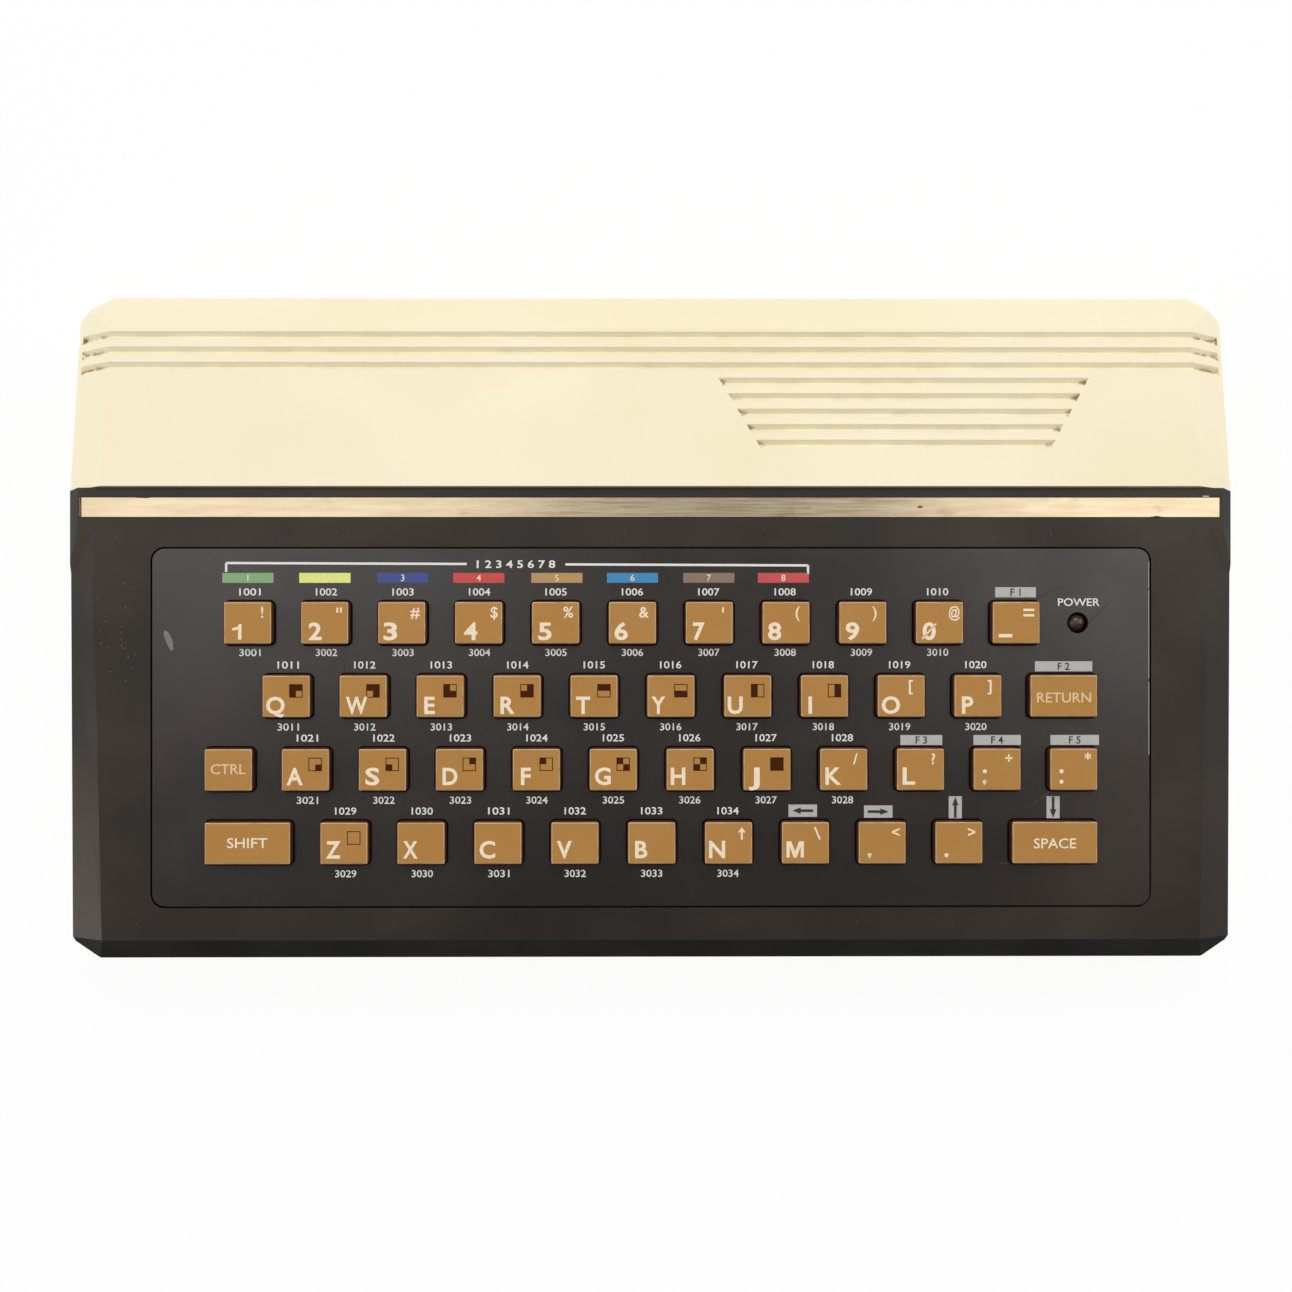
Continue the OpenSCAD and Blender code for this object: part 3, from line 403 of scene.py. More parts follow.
LOOKS = {
    "cream_plastic": cream_plastic(),
    "dark_plastic": dark_plastic("dark", DARK, DARK, gloss=(0.40, 0.55), grain=0.55, ior=1.38),
    "panel_plastic": dark_plastic(
        "panel", PANEL_DARK, PANEL_SHEEN, gloss=(0.20, 0.28), grain=0.4, ior=1.62
    ),
    "gold_trim": gold_strip(),
    "key_rubber": key_rubber(),
    "mat_rubber": plain("mat", (0.014, 0.008, 0.005), 0.8, 8),
    "circuit_board": circuit_board(),
    "component_plastic": plain("component", (0.018, 0.018, 0.018), 0.45, 6),
    "socket_metal": plain("socket", (0.72, 0.72, 0.70), 0.22, 4, 0.06, 0.004, metallic=1.0),
    "switch_plastic": plain("switch", (0.016, 0.015, 0.014), 0.4, 3),
    "lamp_lens": lamp_lens(),
    "foot_rubber": plain("foot", (0.02, 0.019, 0.018), 0.8, 4, depth=0.03),
    "screw_steel": plain("screw", (0.55, 0.55, 0.53), 0.3, 3, 0.1, 0.006, metallic=1.0),
}
for part in frame["record"]["subparts"]:
    piece = nodes[part["node"]]
    piece.data.materials.clear()
    piece.data.materials.append(LOOKS[part["material_slot"]])


def ink(name, color, roughness=0.5, ior=1.5):
    """Printed ink, thin in places."""
    s = Surface(name, color, roughness, ior=ior)
    thin = s.between(s.noise(0.8, 3), 0.35, 0.75, 0.0, 0.3)
    s.color(s.mix(thin, color, tuple(c * 0.72 for c in color)))
    s.bump(s.noise(0.3, 2), 0.006)
    return s.material


# ---------------------------------------------------------------- moulded edges

# The width in millimetres of the rounding of each piece's edges.
EDGES = {"lower_shell": 0.35, "keyboard_housing": 0.3, "rear_cover": 0.3, "keyboard_panel": 0.12,
         "power_lamp": 0.0, "switch_knob": 0.2, "feet": 0.3}
KEY_EDGE = 0.14


def soften(piece, width):
    """Joins the faces of an imported solid, and rounds its sharp edges by width millimetres."""
    weld = piece.modifiers.new("weld", "WELD")
    weld.merge_threshold = 0.002 * MM
    if width:
        bevel = piece.modifiers.new("edges", "BEVEL")
        bevel.width = width * MM
        bevel.segments = 2
        bevel.limit_method = "ANGLE"
        bevel.angle_limit = math.radians(28)
        bevel.use_clamp_overlap = True
        bevel.harden_normals = True


for name, width in EDGES.items():
    soften(nodes[name], width)
for name, piece in nodes.items():
    if name.startswith("key_") and name != "key_mat":
        soften(piece, KEY_EDGE)

# ---------------------------------------------------------------- printing

# Ink stands PRINT_UP over its face and reaches PRINT_DOWN into it; ink over ink is OVERPRINT
# higher.
PRINT_UP = 0.03
PRINT_DOWN = 0.03
OVERPRINT = 0.02
letter_cache = {}


def lettering(text, bold):
    """Points and faces of a line of text, 1 thick, in the font's own units."""
    if (text, bold) not in letter_cache:
        curve = bpy.data.curves.new("text", "FONT")
        curve.body, curve.offset, curve.extrude, curve.resolution_u = text, bold, 0.5, 3
        carrier = bpy.data.objects.new("text", curve)
        scene.collection.objects.link(carrier)
        graph = bpy.context.evaluated_depsgraph_get()
        mesh = bpy.data.meshes.new_from_object(carrier.evaluated_get(graph))
        points = [tuple(p.co) for p in mesh.vertices]
        letter_cache[text, bold] = points, [tuple(f.vertices) for f in mesh.polygons]
        bpy.data.objects.remove(carrier)
        bpy.data.curves.remove(curve)
        bpy.data.meshes.remove(mesh)
    return letter_cache[text, bold]


CAPITAL = max(p[1] for p in lettering("H", 0.0)[0])


class Print:
    """Ink on a flat face of the deck: thin solids that are collected into one piece."""

    def __init__(self, name, body, inks, level):
        self.name, self.body, self.inks, self.level = name, body, inks, level
        self.mesh = bmesh.new()

    def add(self, points, faces, shade):
        """Adds a solid of one of the inks, or of the first one where shade is None.

        Points hold x, v and 0 for the ink's underside or 1 for its top.
        """
        index = self.inks.index(shade or self.inks[0])
        made = []
        for x, v, top in points:
            w = self.level + (PRINT_UP if top else -PRINT_DOWN)
            made.append(self.mesh.verts.new(deck(x, v, w)))
        for corners in faces:
            if len(set(corners)) > 2:
                face = self.mesh.faces.new([made[c] for c in corners])
                face.material_index = index

    @contextmanager
    def over(self):
        """What is drawn inside lies over the ink below it."""
        self.level += OVERPRINT
        yield
        self.level -= OVERPRINT

    def outline(self, corners, shade=None):
        """A flat shape from its corners, anticlockwise."""
        n = len(corners)
        points = [(x, v, 0) for x, v in corners] + [(x, v, 1) for x, v in corners]
        sides = [(i, (i + 1) % n, (i + 1) % n + n, i + n) for i in range(n)]
        self.add(points, [tuple(range(n - 1, -1, -1)), tuple(range(n, 2 * n)), *sides], shade)

    def bar(self, x, v, width, height, shade=None):
        """An upright rectangle round x and v."""
        a, b = width / 2, height / 2
        self.outline([(x - a, v - b), (x + a, v - b), (x + a, v + b), (x - a, v + b)], shade)

    def stroke(self, start, end, width, shade=None):
        """A straight line from start to end."""
        along = (Vector(end) - Vector(start)).normalized()
        side = Vector((-along.y, along.x)) * width / 2
        a, b = Vector(start), Vector(end)
        self.outline([tuple(p) for p in (a - side, b - side, b + side, a + side)], shade)

    def disc(self, x, v, radius, shade=None, corners=16):
        """A round dot."""
        turn = [2 * math.pi * i / corners for i in range(corners)]
        self.outline([(x + radius * math.cos(t), v + radius * math.sin(t)) for t in turn], shade)

    def text(self, text, x, v, height, shade=None, bold=0.018, width=None, reach=None):
        """A line of text whose middle is at x and whose foot is at v; height is a capital's.

        It is width wide, or else as wide as the font makes it, up to reach.
        """
        points, faces = lettering(text, bold)
        left, right = min(p[0] for p in points), max(p[0] for p in points)
        tall = height / CAPITAL
        wide = width / (right - left) if width else tall
        if reach and not width:
            wide = min(wide, reach / (right - left))
        middle = (left + right) / 2
        placed = [(x + (p[0] - middle) * wide, v + p[1] * tall, p[2] > 0) for p in points]
        self.add(placed, faces, shade)

    def done(self):
        """Makes the piece, which rides on its body."""
        bmesh.ops.recalc_face_normals(self.mesh, faces=self.mesh.faces)
        data = bpy.data.meshes.new(self.name)
        self.mesh.to_mesh(data)
        self.mesh.free()
        for material in self.inks:
            data.materials.append(material)
        piece = bpy.data.objects.new(self.name, data)
        scene.collection.objects.link(piece)
        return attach(piece, self.body)


WHITE_INK = ink("ink_white", (0.80, 0.79, 0.74))
BOX_INK = ink("ink_box", (0.48, 0.475, 0.455))
BLACK_INK = ink("ink_black", (0.022, 0.02, 0.018))
KEY_INK = ink("ink_key", INK)
FAINT_INK = ink("ink_faint", (0.78, 0.58, 0.33))
BROWN_INK = ink("ink_brown", (0.062, 0.016, 0.003), 0.8, 1.15)
BAR_COLORS = {
    "green": (0.225, 0.41, 0.19), "yellow": (0.77, 0.82, 0.22), "blue": (0.042, 0.066, 0.262),
    "red": (0.59, 0.06, 0.057), "buff": (0.48, 0.28, 0.10), "cyan": (0.036, 0.245, 0.48),
    "magenta": (0.245, 0.172, 0.12), "orange": (0.585, 0.07, 0.066),
}

# The print of the keys: the heights of a letter, a digit, a small character and a word, the places
# and greatest widths of the first ones, each row's feet over the key's lower edge, and the block
# squares.
KEY_LETTER = 4.0
KEY_DIGIT = 4.05
KEY_UPPER = 2.6
KEY_WORD = 2.4
MAIN_X = -2.6
MAIN_REACH = 4.6
UPPER_X = 2.85
UPPER_DOWN = 1.45
UPPER_REACH = 2.8
FEET = (1.2, 1.1, 1.7, 1.75)
BLOCK = 3.1
BLOCK_X = 2.45
BLOCK_V = 1.35
BLOCK_LINE = 0.2

# Each row: the node's name after key_, the main character, and the upper one or the dark quarters.
ROWS = (
    [("1", "1", "!"), ("2", "2", '"'), ("3", "3", "#"), ("4", "4", "$"), ("5", "5", "%"),
     ("6", "6", "&"), ("7", "7", "'"), ("8", "8", "("), ("9", "9", ")"), ("0", "0", "@"),
     ("minus", "-", "=")],
    [("q", "Q", "abc"), ("w", "W", "abd"), ("e", "E", "acd"), ("r", "R", "bcd"), ("t", "T", "ab"),
     ("y", "Y", "cd"), ("u", "U", "ac"), ("i", "I", "bd"), ("o", "O", "["), ("p", "P", "]")],
    [("a", "A", "d"), ("s", "S", "c"), ("d", "D", "b"), ("f", "F", "a"), ("g", "G", "ad"),
     ("h", "H", "bc"), ("j", "J", "abcd"), ("k", "K", "/"), ("l", "L", "?"),
     ("semicolon", ";", "+"), ("colon", ":", "*")],
    [("z", "Z", ""), ("x", "X", None), ("c", "C", None), ("v", "V", None), ("b", "B", None),
     ("n", "N", "^"), ("m", "M", "\\"), ("comma", ",", "<"), ("period", ".", ">")],
)
# Each word key: its row, its word, the word's width, and how far its foot is over the key's middle.
WORD_KEYS = {"ctrl": (2, "CTRL", 8.6, -1.0), "return": (1, "RETURN", 13.4, -1.6),
             "shift": (3, "SHIFT", 10.0, -1.1), "space": (3, "SPACE", 10.5, -1.4)}


def row_v(row):
    """How far up the deck the middle of a row of keys lies."""
    return TOP_ROW_V - ROW_PITCH * row


def block(sheet, x, v, dark):
    """A small square with its dark quarters: a and b above, c and d below."""
    half, quarter = BLOCK / 2, BLOCK / 4
    corner = half + BLOCK_LINE / 2
    for edge in (-half, half):
        sheet.stroke((x - corner, v + edge), (x + corner, v + edge), BLOCK_LINE, BROWN_INK)
        sheet.stroke((x + edge, v - corner), (x + edge, v + corner), BLOCK_LINE, BROWN_INK)
    places = {"a": (-1, 1), "b": (1, 1), "c": (-1, -1), "d": (1, -1)}
    for letter in dark:
        i, j = places[letter]
        sheet.bar(x + i * quarter, v + j * quarter, half, half, BROWN_INK)


# The width of the letters that differ from the font's, and how far they stand to the right.
LETTER_FIT = {
    "W": (5.3, 1.0), "A": (4.0, 0), "D": (3.7, 0.3), "Z": (3.6, 0), "X": (3.6, 0), "S": (3.5, 0.15),
    "V": (3.7, 0), "I": (None, -0.95), "J": (2.8, -0.6), "T": (3.5, -0.1), "Y": (3.4, -0.5),
    "H": (3.6, -0.4), "U": (3.7, -0.5), "N": (4.0, -0.25), "L": (3.1, -0.3), "R": (None, 0.25),
    "2": (3.2, 0.3), "3": (3.4, -0.15), "4": (3.3, 0.65), "5": (3.3, 0), "6": (3.3, -0.2),
    "7": (2.9, 0), "8": (3.3, -0.25), "9": (3.4, 0), "0": (3.3, 0),
}
# Bold characters drawn from their corners, anticlockwise: the font's own M closes up when it is
# bold, and its 1 has no flag.
DRAWN = {
    "M": ((-2.15, 0), (-1.35, 0), (-1.35, 2.7), (-0.4, 0), (0.4, 0), (1.35, 2.7), (1.35, 0),
          (2.15, 0), (2.15, 4.0), (0.95, 4.0), (0, 1.5), (-0.95, 4.0), (-2.15, 4.0)),
    "1": ((0.25, 0), (1.1, 0), (1.1, 3.85), (0.5, 3.85), (0.1, 3.15), (-1.2, 2.85),
          (-1.2, 2.25), (0.25, 2.45)),
}
DRAWN_X = 0.05
# A bar is its middle and its size, and a stroke is its two ends and its width.
MINUS_BAR = (-0.1, 0.9, 3.4, 0.85)
ZERO_STROKE = ((-1.75, 0.1), (1.75, 3.9), 0.38)
DOT_X = -0.5
DOT_R = 0.52
DOT_LOW = 0.55
DOT_HIGH = 3.15
COMMA_TAIL = ((-0.3, -0.75), (0.05, -0.75), (0.45, 0.0), (0.5, 0.45), (-0.1, 0.2))


def main_character(sheet, character, x, v, row):
    """The large character at the lower left of a key."""
    foot = v - CAP_D / 2 + FEET[row]
    left = x + MAIN_X
    if character == "-":
        i, j, width, height = MINUS_BAR
        sheet.bar(left + i, foot + j, width, height)
    elif character in DRAWN:
        sheet.outline([(left + DRAWN_X + i, foot + j) for i, j in DRAWN[character]])
    elif character in ";:.,":
        left += DOT_X
        if character in ";:":
            sheet.disc(left, foot + DOT_HIGH, DOT_R)
        sheet.disc(left, foot + DOT_LOW, DOT_R)
        if character in ";,":
            sheet.outline([(left + i, foot + DOT_LOW + j) for i, j in COMMA_TAIL])
    else:
        height = KEY_DIGIT if character.isdigit() else KEY_LETTER
        width, shift = LETTER_FIT.get(character, (None, 0))
        sheet.text(character, left + shift, foot, height, bold=0.026, width=width, reach=MAIN_REACH)
        if character == "0":
            (i, j), (k, m), width = ZERO_STROKE
            sheet.stroke((left + i, foot + j), (left + k, foot + m), width)


# How far some small characters stand to the right of their usual place.
UPPER_SHIFT = {"!": 0.8, '"': 0.8, "#": 0.5, "$": 1.0, "%": 0.3, "'": 0.6, "@": 0.8, "=": 0.3,
               "[": -0.5, "?": 0.3, "*": 0.6, "^": 0.4, "<": 0.5, ">": 0.3}
# The small characters that are drawn, from the middle of their top.
UPPER_BARS = {
    "=": ((-0.05, -0.75, 2.7, 0.6), (-0.05, -2.1, 2.7, 0.6)),
    "+": ((0, -1.1, 1.8, 0.42), (0, -1.1, 0.42, 1.8)),
    "^": ((0, -2.1, 0.5, 1.9),),
}
UPPER_STROKES = {
    "\\": (((-0.55, 0), (0.75, -3.1), 0.45),),
    '"': (((-0.45, -0.1), (-0.55, -1.4), 0.45), ((0.45, -0.1), (0.35, -1.4), 0.45)),
    "'": (((0, -0.1), (-0.1, -1.4), 0.45),),
}
ARROW_HEAD = ((-0.95, -1.3), (0.95, -1.3), (0, 0))


def upper_character(sheet, character, x, v):
    """The small character at the upper right of a key."""
    top = v + CAP_D / 2 - UPPER_DOWN
    left = x + UPPER_X + UPPER_SHIFT.get(character, 0)
    for i, j, width, height in UPPER_BARS.get(character, ()):
        sheet.bar(left + i, top + j, width, height)
    for (i, j), (k, m), width in UPPER_STROKES.get(character, ()):
        sheet.stroke((left + i, top + j), (left + k, top + m), width)
    if character == "^":
        sheet.outline([(left + i, top + j) for i, j in ARROW_HEAD])
    elif character not in UPPER_BARS and character not in UPPER_STROKES:
        sheet.text(character, left, top - KEY_UPPER, KEY_UPPER, bold=0.014, reach=UPPER_REACH)


def print_keys():
    """A sheet of print for each key."""
    for row, keys in enumerate(ROWS):
        for name, main, upper in keys:
            node = f"key_{name}"
            x, v = middle_x(node), row_v(row)
            sheet = Print(f"print_{name}", node, [KEY_INK, BROWN_INK], CAP_H)
            main_character(sheet, main, x, v, row)
            if upper is not None and set(upper) <= set("abcd"):
                block(sheet, x + BLOCK_X, v + BLOCK_V, upper)
            elif upper is not None:
                upper_character(sheet, upper, x, v)
            sheet.done()
    for name, (row, word, width, foot) in WORD_KEYS.items():
        node = f"key_{name}"
        faded = name in ("ctrl", "return")
        sheet = Print(f"print_{name}", node, [FAINT_INK if faded else KEY_INK], CAP_H)
        sheet.text(word, middle_x(node), row_v(row) + foot, KEY_WORD, bold=0.008, width=width)
        sheet.done()


# The plain numbers over and under the keys: their size, their feet from the key's middle, the first
# number, and what a key's lower number adds to its upper one.
LABEL = 1.72
LABEL_W = 5.3
LABEL_UP = 6.85
LABEL_DOWN = (-8.2, -8.55, -8.6, -8.7)
FIRST_LABEL = 1001
LOWER_LABEL = 2000
UNNUMBERED = {"minus", "l", "semicolon", "colon", "m", "comma", "period"}

# Each function box: its key and row, its place from the key's middle, and its width.
FUNCTION_BOXES = (
    ("minus", 0, 0.4, 7.6, 10.15), ("return", 1, 0.6, 7.3, 14.3), ("l", 2, 0.65, 7.1, 10.4),
    ("semicolon", 2, 0.55, 7.1, 11.8), ("colon", 2, 0.9, 7.1, 12.1),
)
FUNCTION_H = 2.5
FUNCTION_TEXT = 1.75
FUNCTION_FOOT = 0.87

# Each arrow over the lowest row: its key, its place from the key's middle, and its quarter turns
# from pointing right.
ARROWS = (("m", -0.4, 7.7, 2), ("comma", -0.6, 7.45, 0), ("period", -0.4, 8.5, 1),
          ("space", 0.2, 8.5, 3))
ARROW_BOX = (7.1, 3.05)
UPRIGHT_BOX = (3.26, 5.5)
ARROW_SHAPE = ((-2.6, -0.34), (0.5, -0.34), (0.5, -0.82), (2.6, 0), (0.5, 0.82), (0.5, 0.34),
               (-2.6, 0.34))

# The colour bars, how far each stands beside its key, and the digits in them.
BARS_V = 37.15
BAR_W = 12.7
BAR_H = 2.46
BAR_SHIFT = (-0.5, -0.4, -0.1, -0.2, 0.2, 0.0, 0.0, -0.45)
BAR_TEXT = 1.6

# The bracket over the bars: its height at the left end, how much it sinks for each millimetre to
# the right, its line, its ends and gap, and the digits in the gap.
BRACKET_V = 40.85
BRACKET_LEAN = 0.0042
BRACKET_LINE = 0.58
BRACKET_DROP = 2.2
BRACKET_ENDS = (-105.7, 38.9)
BRACKET_GAP = (-46.0, -21.5)
BRACKET_TEXT = 1.8
BRACKET_TEXT_W = 19.5
BRACKET_TEXT_X = -34

# The power lamp's name: its middle and its foot over the first row's, and its size.
POWER_X = 106.4
POWER_UP = 4.2
POWER_H = 1.85
POWER_W = 10.4


def print_numbers(sheet):
    """The plain numbers over and under most keys."""
    number = FIRST_LABEL
    for row, keys in enumerate(ROWS):
        for name in [key[0] for key in keys if key[0] not in UNNUMBERED]:
            x, v = middle_x(f"key_{name}"), row_v(row)
            for value, foot in ((number, LABEL_UP), (number + LOWER_LABEL, LABEL_DOWN[row])):
                sheet.text(str(value), x, v + foot, LABEL, bold=0.01, width=LABEL_W)
            number += 1


def print_boxes(sheet):
    """Grey boxes over some keys, with F and a number or with an arrow."""
    for number, (name, row, dx, dv, width) in enumerate(FUNCTION_BOXES, 1):
        x, v = middle_x(f"key_{name}") + dx, row_v(row) + dv
        sheet.bar(x, v, width, FUNCTION_H, BOX_INK)
        with sheet.over():
            sheet.text(f"F {number}", x, v - FUNCTION_FOOT, FUNCTION_TEXT, BLACK_INK, bold=0.014)
    for name, dx, dv, turn in ARROWS:
        x, v = middle_x(f"key_{name}") + dx, row_v(3) + dv
        sheet.bar(x, v, *(UPRIGHT_BOX if turn % 2 else ARROW_BOX), BOX_INK)
        c, s = round(math.cos(turn * math.pi / 2)), round(math.sin(turn * math.pi / 2))
        turned = [(x + c * i - s * j, v + s * i + c * j) for i, j in ARROW_SHAPE]
        with sheet.over():
            sheet.outline(turned, BLACK_INK)


def print_bars(sheet, bars):
    """The eight numbered colour bars, and the bracket over them with the digits in its gap."""
    for number, color in enumerate(bars):
        x = middle_x("key_1") + number * KEY_PITCH + BAR_SHIFT[number]
        sheet.bar(x, BARS_V, BAR_W, BAR_H, color)
        with sheet.over():
            sheet.text(str(number + 1), x, BARS_V - BAR_TEXT / 2, BAR_TEXT, KEY_INK, bold=0.004)

    def line(x):
        return x, BRACKET_V - BRACKET_LEAN * (x - BRACKET_ENDS[0])

    for end, gap in zip(BRACKET_ENDS, BRACKET_GAP):
        sheet.stroke(line(end), line(gap), BRACKET_LINE)
        sheet.stroke(line(end), (end, line(end)[1] - BRACKET_DROP), BRACKET_LINE)
    foot = line(BRACKET_TEXT_X)[1] - BRACKET_TEXT / 2
    sheet.text("1 2 3 4 5 6 7 8", sum(BRACKET_GAP) / 2, foot, BRACKET_TEXT, width=BRACKET_TEXT_W)


def print_panel():
    """All that is printed on the panel, as one piece."""
    bars = [ink(f"ink_{name}", color) for name, color in BAR_COLORS.items()]
    sheet = Print("print_panel", "case", [WHITE_INK, BOX_INK, BLACK_INK, KEY_INK, *bars], 0.0)
    print_numbers(sheet)
    print_boxes(sheet)
    print_bars(sheet, bars)
    sheet.text("POWER", POWER_X, row_v(0) + POWER_UP, POWER_H, bold=0.008, width=POWER_W)
    sheet.done()


print_keys()
print_panel()

# ---------------------------------------------------------------- wear, and a painted highlight


# Each kind of mark: its colour and roughness.
WEAR = {
    "pale": ((0.20, 0.18, 0.155), 0.7),
    "bright": ((0.50, 0.46, 0.40), 0.7),
    "brown": ((0.10, 0.062, 0.026), 0.6),
    "grey": ((0.19, 0.185, 0.175), 0.6),
    "glue": ((0.19, 0.105, 0.045), 0.5),
}
SCRATCH = ((-121.1, 22.7), (-120.6, 21.4), (-120.05, 20.15), (-119.45, 19.15), (-118.75, 19.15),
           (-118.9, 21.2), (-119.7, 23.2), (-120.4, 24.0), (-121.2, 24.0))
SMEAR = ((-142.25, 52.6), (-141.75, 52.55), (-141.7, 54.6), (-141.85, 57.0), (-142.2, 57.15),
         (-142.05, 55))
# Painted highlight: light lines down the panel's right edge where it catches the light; where the
# edge is, and where each line starts and ends.
PANEL_EDGE = 123.86
EDGE_LINES = ((34.5, 41.2), (12, 34), (-7, 11.2))
# Nicks in the strip: start, end, 1 for the rear edge or -1 for the front one, and depth.
NICKS = ((-128.3, -124.3, 1, 0.22), (124.2, 127.2, -1, 0.3))
NICK_STEPS = 8
STAIN_AT = (66.8, STRIP_V + 0.1)
STAIN_SIZE = (0.75, 0.45)


def specks(sheet, chance):
    """Dust in a patch on the deck's left, and along its front and rear."""
    for _ in range(26):
        x, v = chance.uniform(-138, -127), chance.uniform(10, 36)
        sheet.disc(x, v, chance.uniform(0.07, 0.16), corners=6)
    for _ in range(22):
        x = chance.uniform(-134, 134)
        v = chance.choice((chance.uniform(-51, -46), chance.uniform(46, 50)))
        sheet.disc(x, v, chance.uniform(0.06, 0.12), corners=6)


def nick(sheet, chance, start, end, edge, deep, shade):
    """A ragged nick in one edge of the strip."""
    rim = STRIP_V + edge * STRIP_W / 2
    inner = []
    for i in range(NICK_STEPS + 1):
        bite = deep * chance.uniform(0.35, 1) * math.sin(math.pi * (i + 0.4) / (NICK_STEPS + 1))
        inner.append((start + (end - start) * i / NICK_STEPS, rim - edge * bite))
    shape = [(start, rim), (end, rim), *reversed(inner)]
    sheet.outline(shape if edge < 0 else list(reversed(shape)), shade)


def stain(sheet, chance, shade):
    """A ragged spot on the strip."""
    blob = []
    for t in (math.pi * i / 6 for i in range(12)):
        across = STAIN_SIZE[0] * chance.uniform(0.6, 1) * math.cos(t)
        up = STAIN_SIZE[1] * chance.uniform(0.6, 1) * math.sin(t)
        blob.append((STAIN_AT[0] + across, STAIN_AT[1] + up))
    sheet.outline(blob, shade)


def marks():
    """Dust, a scratch, a light scuff, a smear and a painted highlight down the panel's right edge
    on the deck, and nicks and a stain on the strip.
    """
    chance = random.Random(7)
    wear_and_light = {name: ink(f"wear_{name}", *look) for name, look in WEAR.items()}
    sheet = Print("wear_deck", "case", list(wear_and_light.values()), 0.0)
    specks(sheet, chance)
    sheet.outline(SCRATCH, wear_and_light["grey"])
    # Painted highlight: light lines down the panel's right edge, where it catches the light.
    for low, high in EDGE_LINES:
        sheet.stroke((PANEL_EDGE, low), (PANEL_EDGE, high), 0.14, wear_and_light["bright"])
    sheet.stroke((137.4, 57.45), (138.9, 57.45), 0.35, wear_and_light["bright"])
    sheet.outline(SMEAR, wear_and_light["glue"])
    sheet.level = STRIP_TOP
    for start, end, edge, deep in NICKS:
        nick(sheet, chance, start, end, edge, deep, wear_and_light["brown"])
    stain(sheet, chance, wear_and_light["glue"])
    sheet.done()


marks()

# ---------------------------------------------------------------- stage, light and camera


# The share of plain white in what the camera sees of the floor. The rest is lit, and keeps the
# shadow.
FLOOR_WHITE = 0.93
FLOOR_REACH = 3.0


def floor_material():
    """White floor that keeps the shadow; the camera, mirrors and clear pieces see it near white."""
    material = bpy.data.materials.new("floor")
    material.use_nodes = True
    tree = material.node_tree
    shader = tree.nodes["Principled BSDF"]
    shader.inputs["Base Color"].default_value = (0.92, 0.92, 0.92, 1)
    shader.inputs["Roughness"].default_value = 0.9
    shader.inputs["Specular IOR Level"].default_value = 0.2
    glow = tree.nodes.new("ShaderNodeEmission")
    glow.inputs["Strength"].default_value = 1.0
    path = tree.nodes.new("ShaderNodeLightPath")
    seen = path.outputs["Is Camera Ray"]
    for ray in ("Is Glossy Ray", "Is Transmission Ray"):
        either = tree.nodes.new("ShaderNodeMath")
        either.operation = "MAXIMUM"
        tree.links.new(seen, either.inputs[0])
        tree.links.new(path.outputs[ray], either.inputs[1])
        seen = either.outputs[0]
    share = tree.nodes.new("ShaderNodeMath")
    share.operation = "MULTIPLY"
    share.inputs[1].default_value = FLOOR_WHITE
    tree.links.new(seen, share.inputs[0])
    mix = tree.nodes.new("ShaderNodeMixShader")
    tree.links.new(share.outputs[0], mix.inputs[0])
    tree.links.new(shader.outputs[0], mix.inputs[1])
    tree.links.new(glow.outputs[0], mix.inputs[2])
    tree.links.new(mix.outputs[0], tree.nodes["Material Output"].inputs["Surface"])
    return material


def stage():
    """A square floor, FLOOR_REACH metres each way."""
    data = bpy.data.meshes.new("floor")
    ways = ((-1, -1), (1, -1), (1, 1), (-1, 1))
    corners = [(i * FLOOR_REACH, j * FLOOR_REACH, 0) for i, j in ways]
    data.from_pydata(corners, [], [(0, 1, 2, 3)])
    data.materials.append(floor_material())
    floor = bpy.data.objects.new("floor", data)
    scene.collection.objects.link(floor)


# How bright the surroundings are overhead and at the horizon, and how that fades between the front
# (-1) and the rear (1): from where to where, and the factors there.
SKY_TOP = 0.48
SKY_EDGE = 0.5
SKY_FADES = ((-0.45, -0.03, 0.4, 1.0), (0.0, 0.3, 1.0, 0.7))

# The overhead panels, in metres: their front and rear edges and their height, and each one's left
# and right edges and its glow.
OVERHEAD_FRONT = -0.25
OVERHEAD_REAR = 0.9
OVERHEAD_UP = 1.3
OVERHEADS = {"left_panel": (-0.93, -0.12, 0.95), "right_panel": (0.31, 1.12, 1.14)}

# The lamps' size, and each one's place in metres and its power in watts.
LAMP_SIZE = 0.8
LAMPS = {
    "left_light": ((-1.25, -0.25, 0.85), 4.5),
    "right_light": ((1.25, 0.30, 0.85), 4.5),
    "rear_light": ((0.0, 0.9, 1.35), 8.5),
}


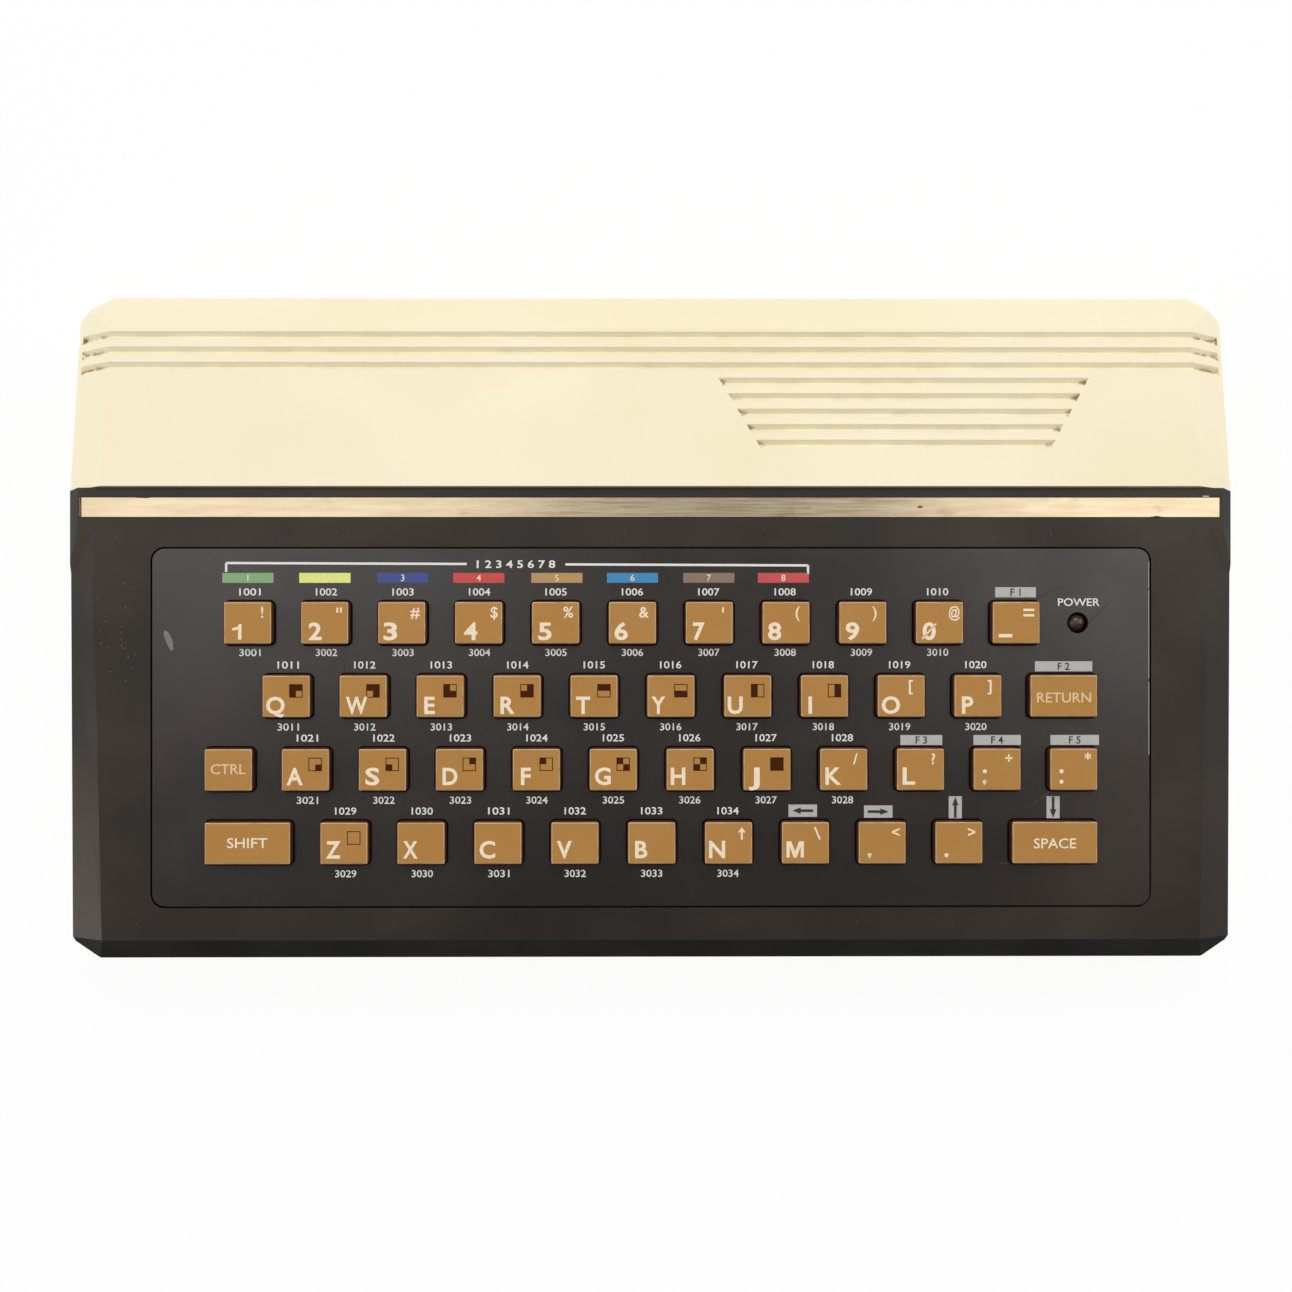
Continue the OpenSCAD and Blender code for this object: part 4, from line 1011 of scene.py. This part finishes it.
def sky():
    """Plain studio surroundings: dimmer at the back, and dimmest at the front."""
    world = bpy.data.worlds.new("studio")
    scene.world = world
    world.use_nodes = True
    tree = world.node_tree
    place = tree.nodes.new("ShaderNodeTexCoord")
    split = tree.nodes.new("ShaderNodeSeparateXYZ")
    tree.links.new(place.outputs["Generated"], split.inputs[0])

    def fade(axis, ends):
        """A factor along an axis: from, to, and the values there."""
        node = tree.nodes.new("ShaderNodeMapRange")
        node.interpolation_type = "SMOOTHSTEP" if axis == "Y" else "LINEAR"
        for socket, value in zip(("From Min", "From Max", "To Min", "To Max"), ends):
            node.inputs[socket].default_value = value
        tree.links.new(split.outputs[axis], node.inputs["Value"])
        return node.outputs[0]

    glow = fade("Z", (0.0, 1.0, SKY_EDGE, SKY_TOP))
    for ends in SKY_FADES:
        both = tree.nodes.new("ShaderNodeMath")
        both.operation = "MULTIPLY"
        tree.links.new(glow, both.inputs[0])
        tree.links.new(fade("Y", ends), both.inputs[1])
        glow = both.outputs[0]
    tree.links.new(glow, tree.nodes["Background"].inputs["Strength"])
    tree.nodes["Background"].inputs["Color"].default_value = (1, 1, 1, 1)


def lamp(name, place, power):
    """A square lamp that faces the middle of the deck and isn't seen itself."""
    data = bpy.data.lights.new(name, "AREA")
    data.shape, data.size, data.energy = "SQUARE", LAMP_SIZE, power
    held = bpy.data.objects.new(name, data)
    held.location = place
    held.rotation_mode = "QUATERNION"
    held.rotation_quaternion = (DECK_O - Vector(place)).to_track_quat("-Z", "Y")
    held.visible_camera = False
    scene.collection.objects.link(held)


def overhead(name, left, right, glow):
    """A panel of light that hangs level over one side of the table, as bright as glow."""
    width, depth = right - left, OVERHEAD_REAR - OVERHEAD_FRONT
    data = bpy.data.lights.new(name, "AREA")
    data.shape, data.size, data.size_y = "RECTANGLE", width, depth
    data.energy = glow * math.pi * width * depth
    held = bpy.data.objects.new(name, data)
    held.location = ((left + right) / 2, (OVERHEAD_REAR + OVERHEAD_FRONT) / 2, OVERHEAD_UP)
    held.visible_camera = False
    scene.collection.objects.link(held)


# The fitted camera: its place in millimetres, and its turn from square to the deck, in radians.
PHOTO_PX = 1292
FOCAL_PX = 1536.92
SENSOR_W = 36.0
CAMERA_AT = (-3.7567, -74.1096, 416.0068)
CAMERA_TURN = (0.00122, -0.00606, -0.00041)


def camera():
    """Over the deck and nearly square to it, as fitted to the photograph's edges and keys."""
    data = bpy.data.cameras.new("camera")
    data.sensor_width, data.lens = SENSOR_W, FOCAL_PX / PHOTO_PX * SENSOR_W
    data.clip_start = 0.02
    seen = bpy.data.objects.new("camera", data)
    x, y, z = CAMERA_TURN
    small = Matrix.Rotation(math.hypot(x, y, z), 3, Vector((x, y, z)))
    base = Matrix.Rotation(SLOPE, 3, "X")
    seen.matrix_world = Matrix.Translation(Vector(CAMERA_AT) * MM) @ (base @ small).to_4x4()
    scene.collection.objects.link(seen)
    scene.camera = seen


stage()
sky()
for name, (left, right, glow) in OVERHEADS.items():
    overhead(name, left, right, glow)
for name, (place, power) in LAMPS.items():
    lamp(name, place, power)
camera()
scene.view_settings.view_transform = "Standard"
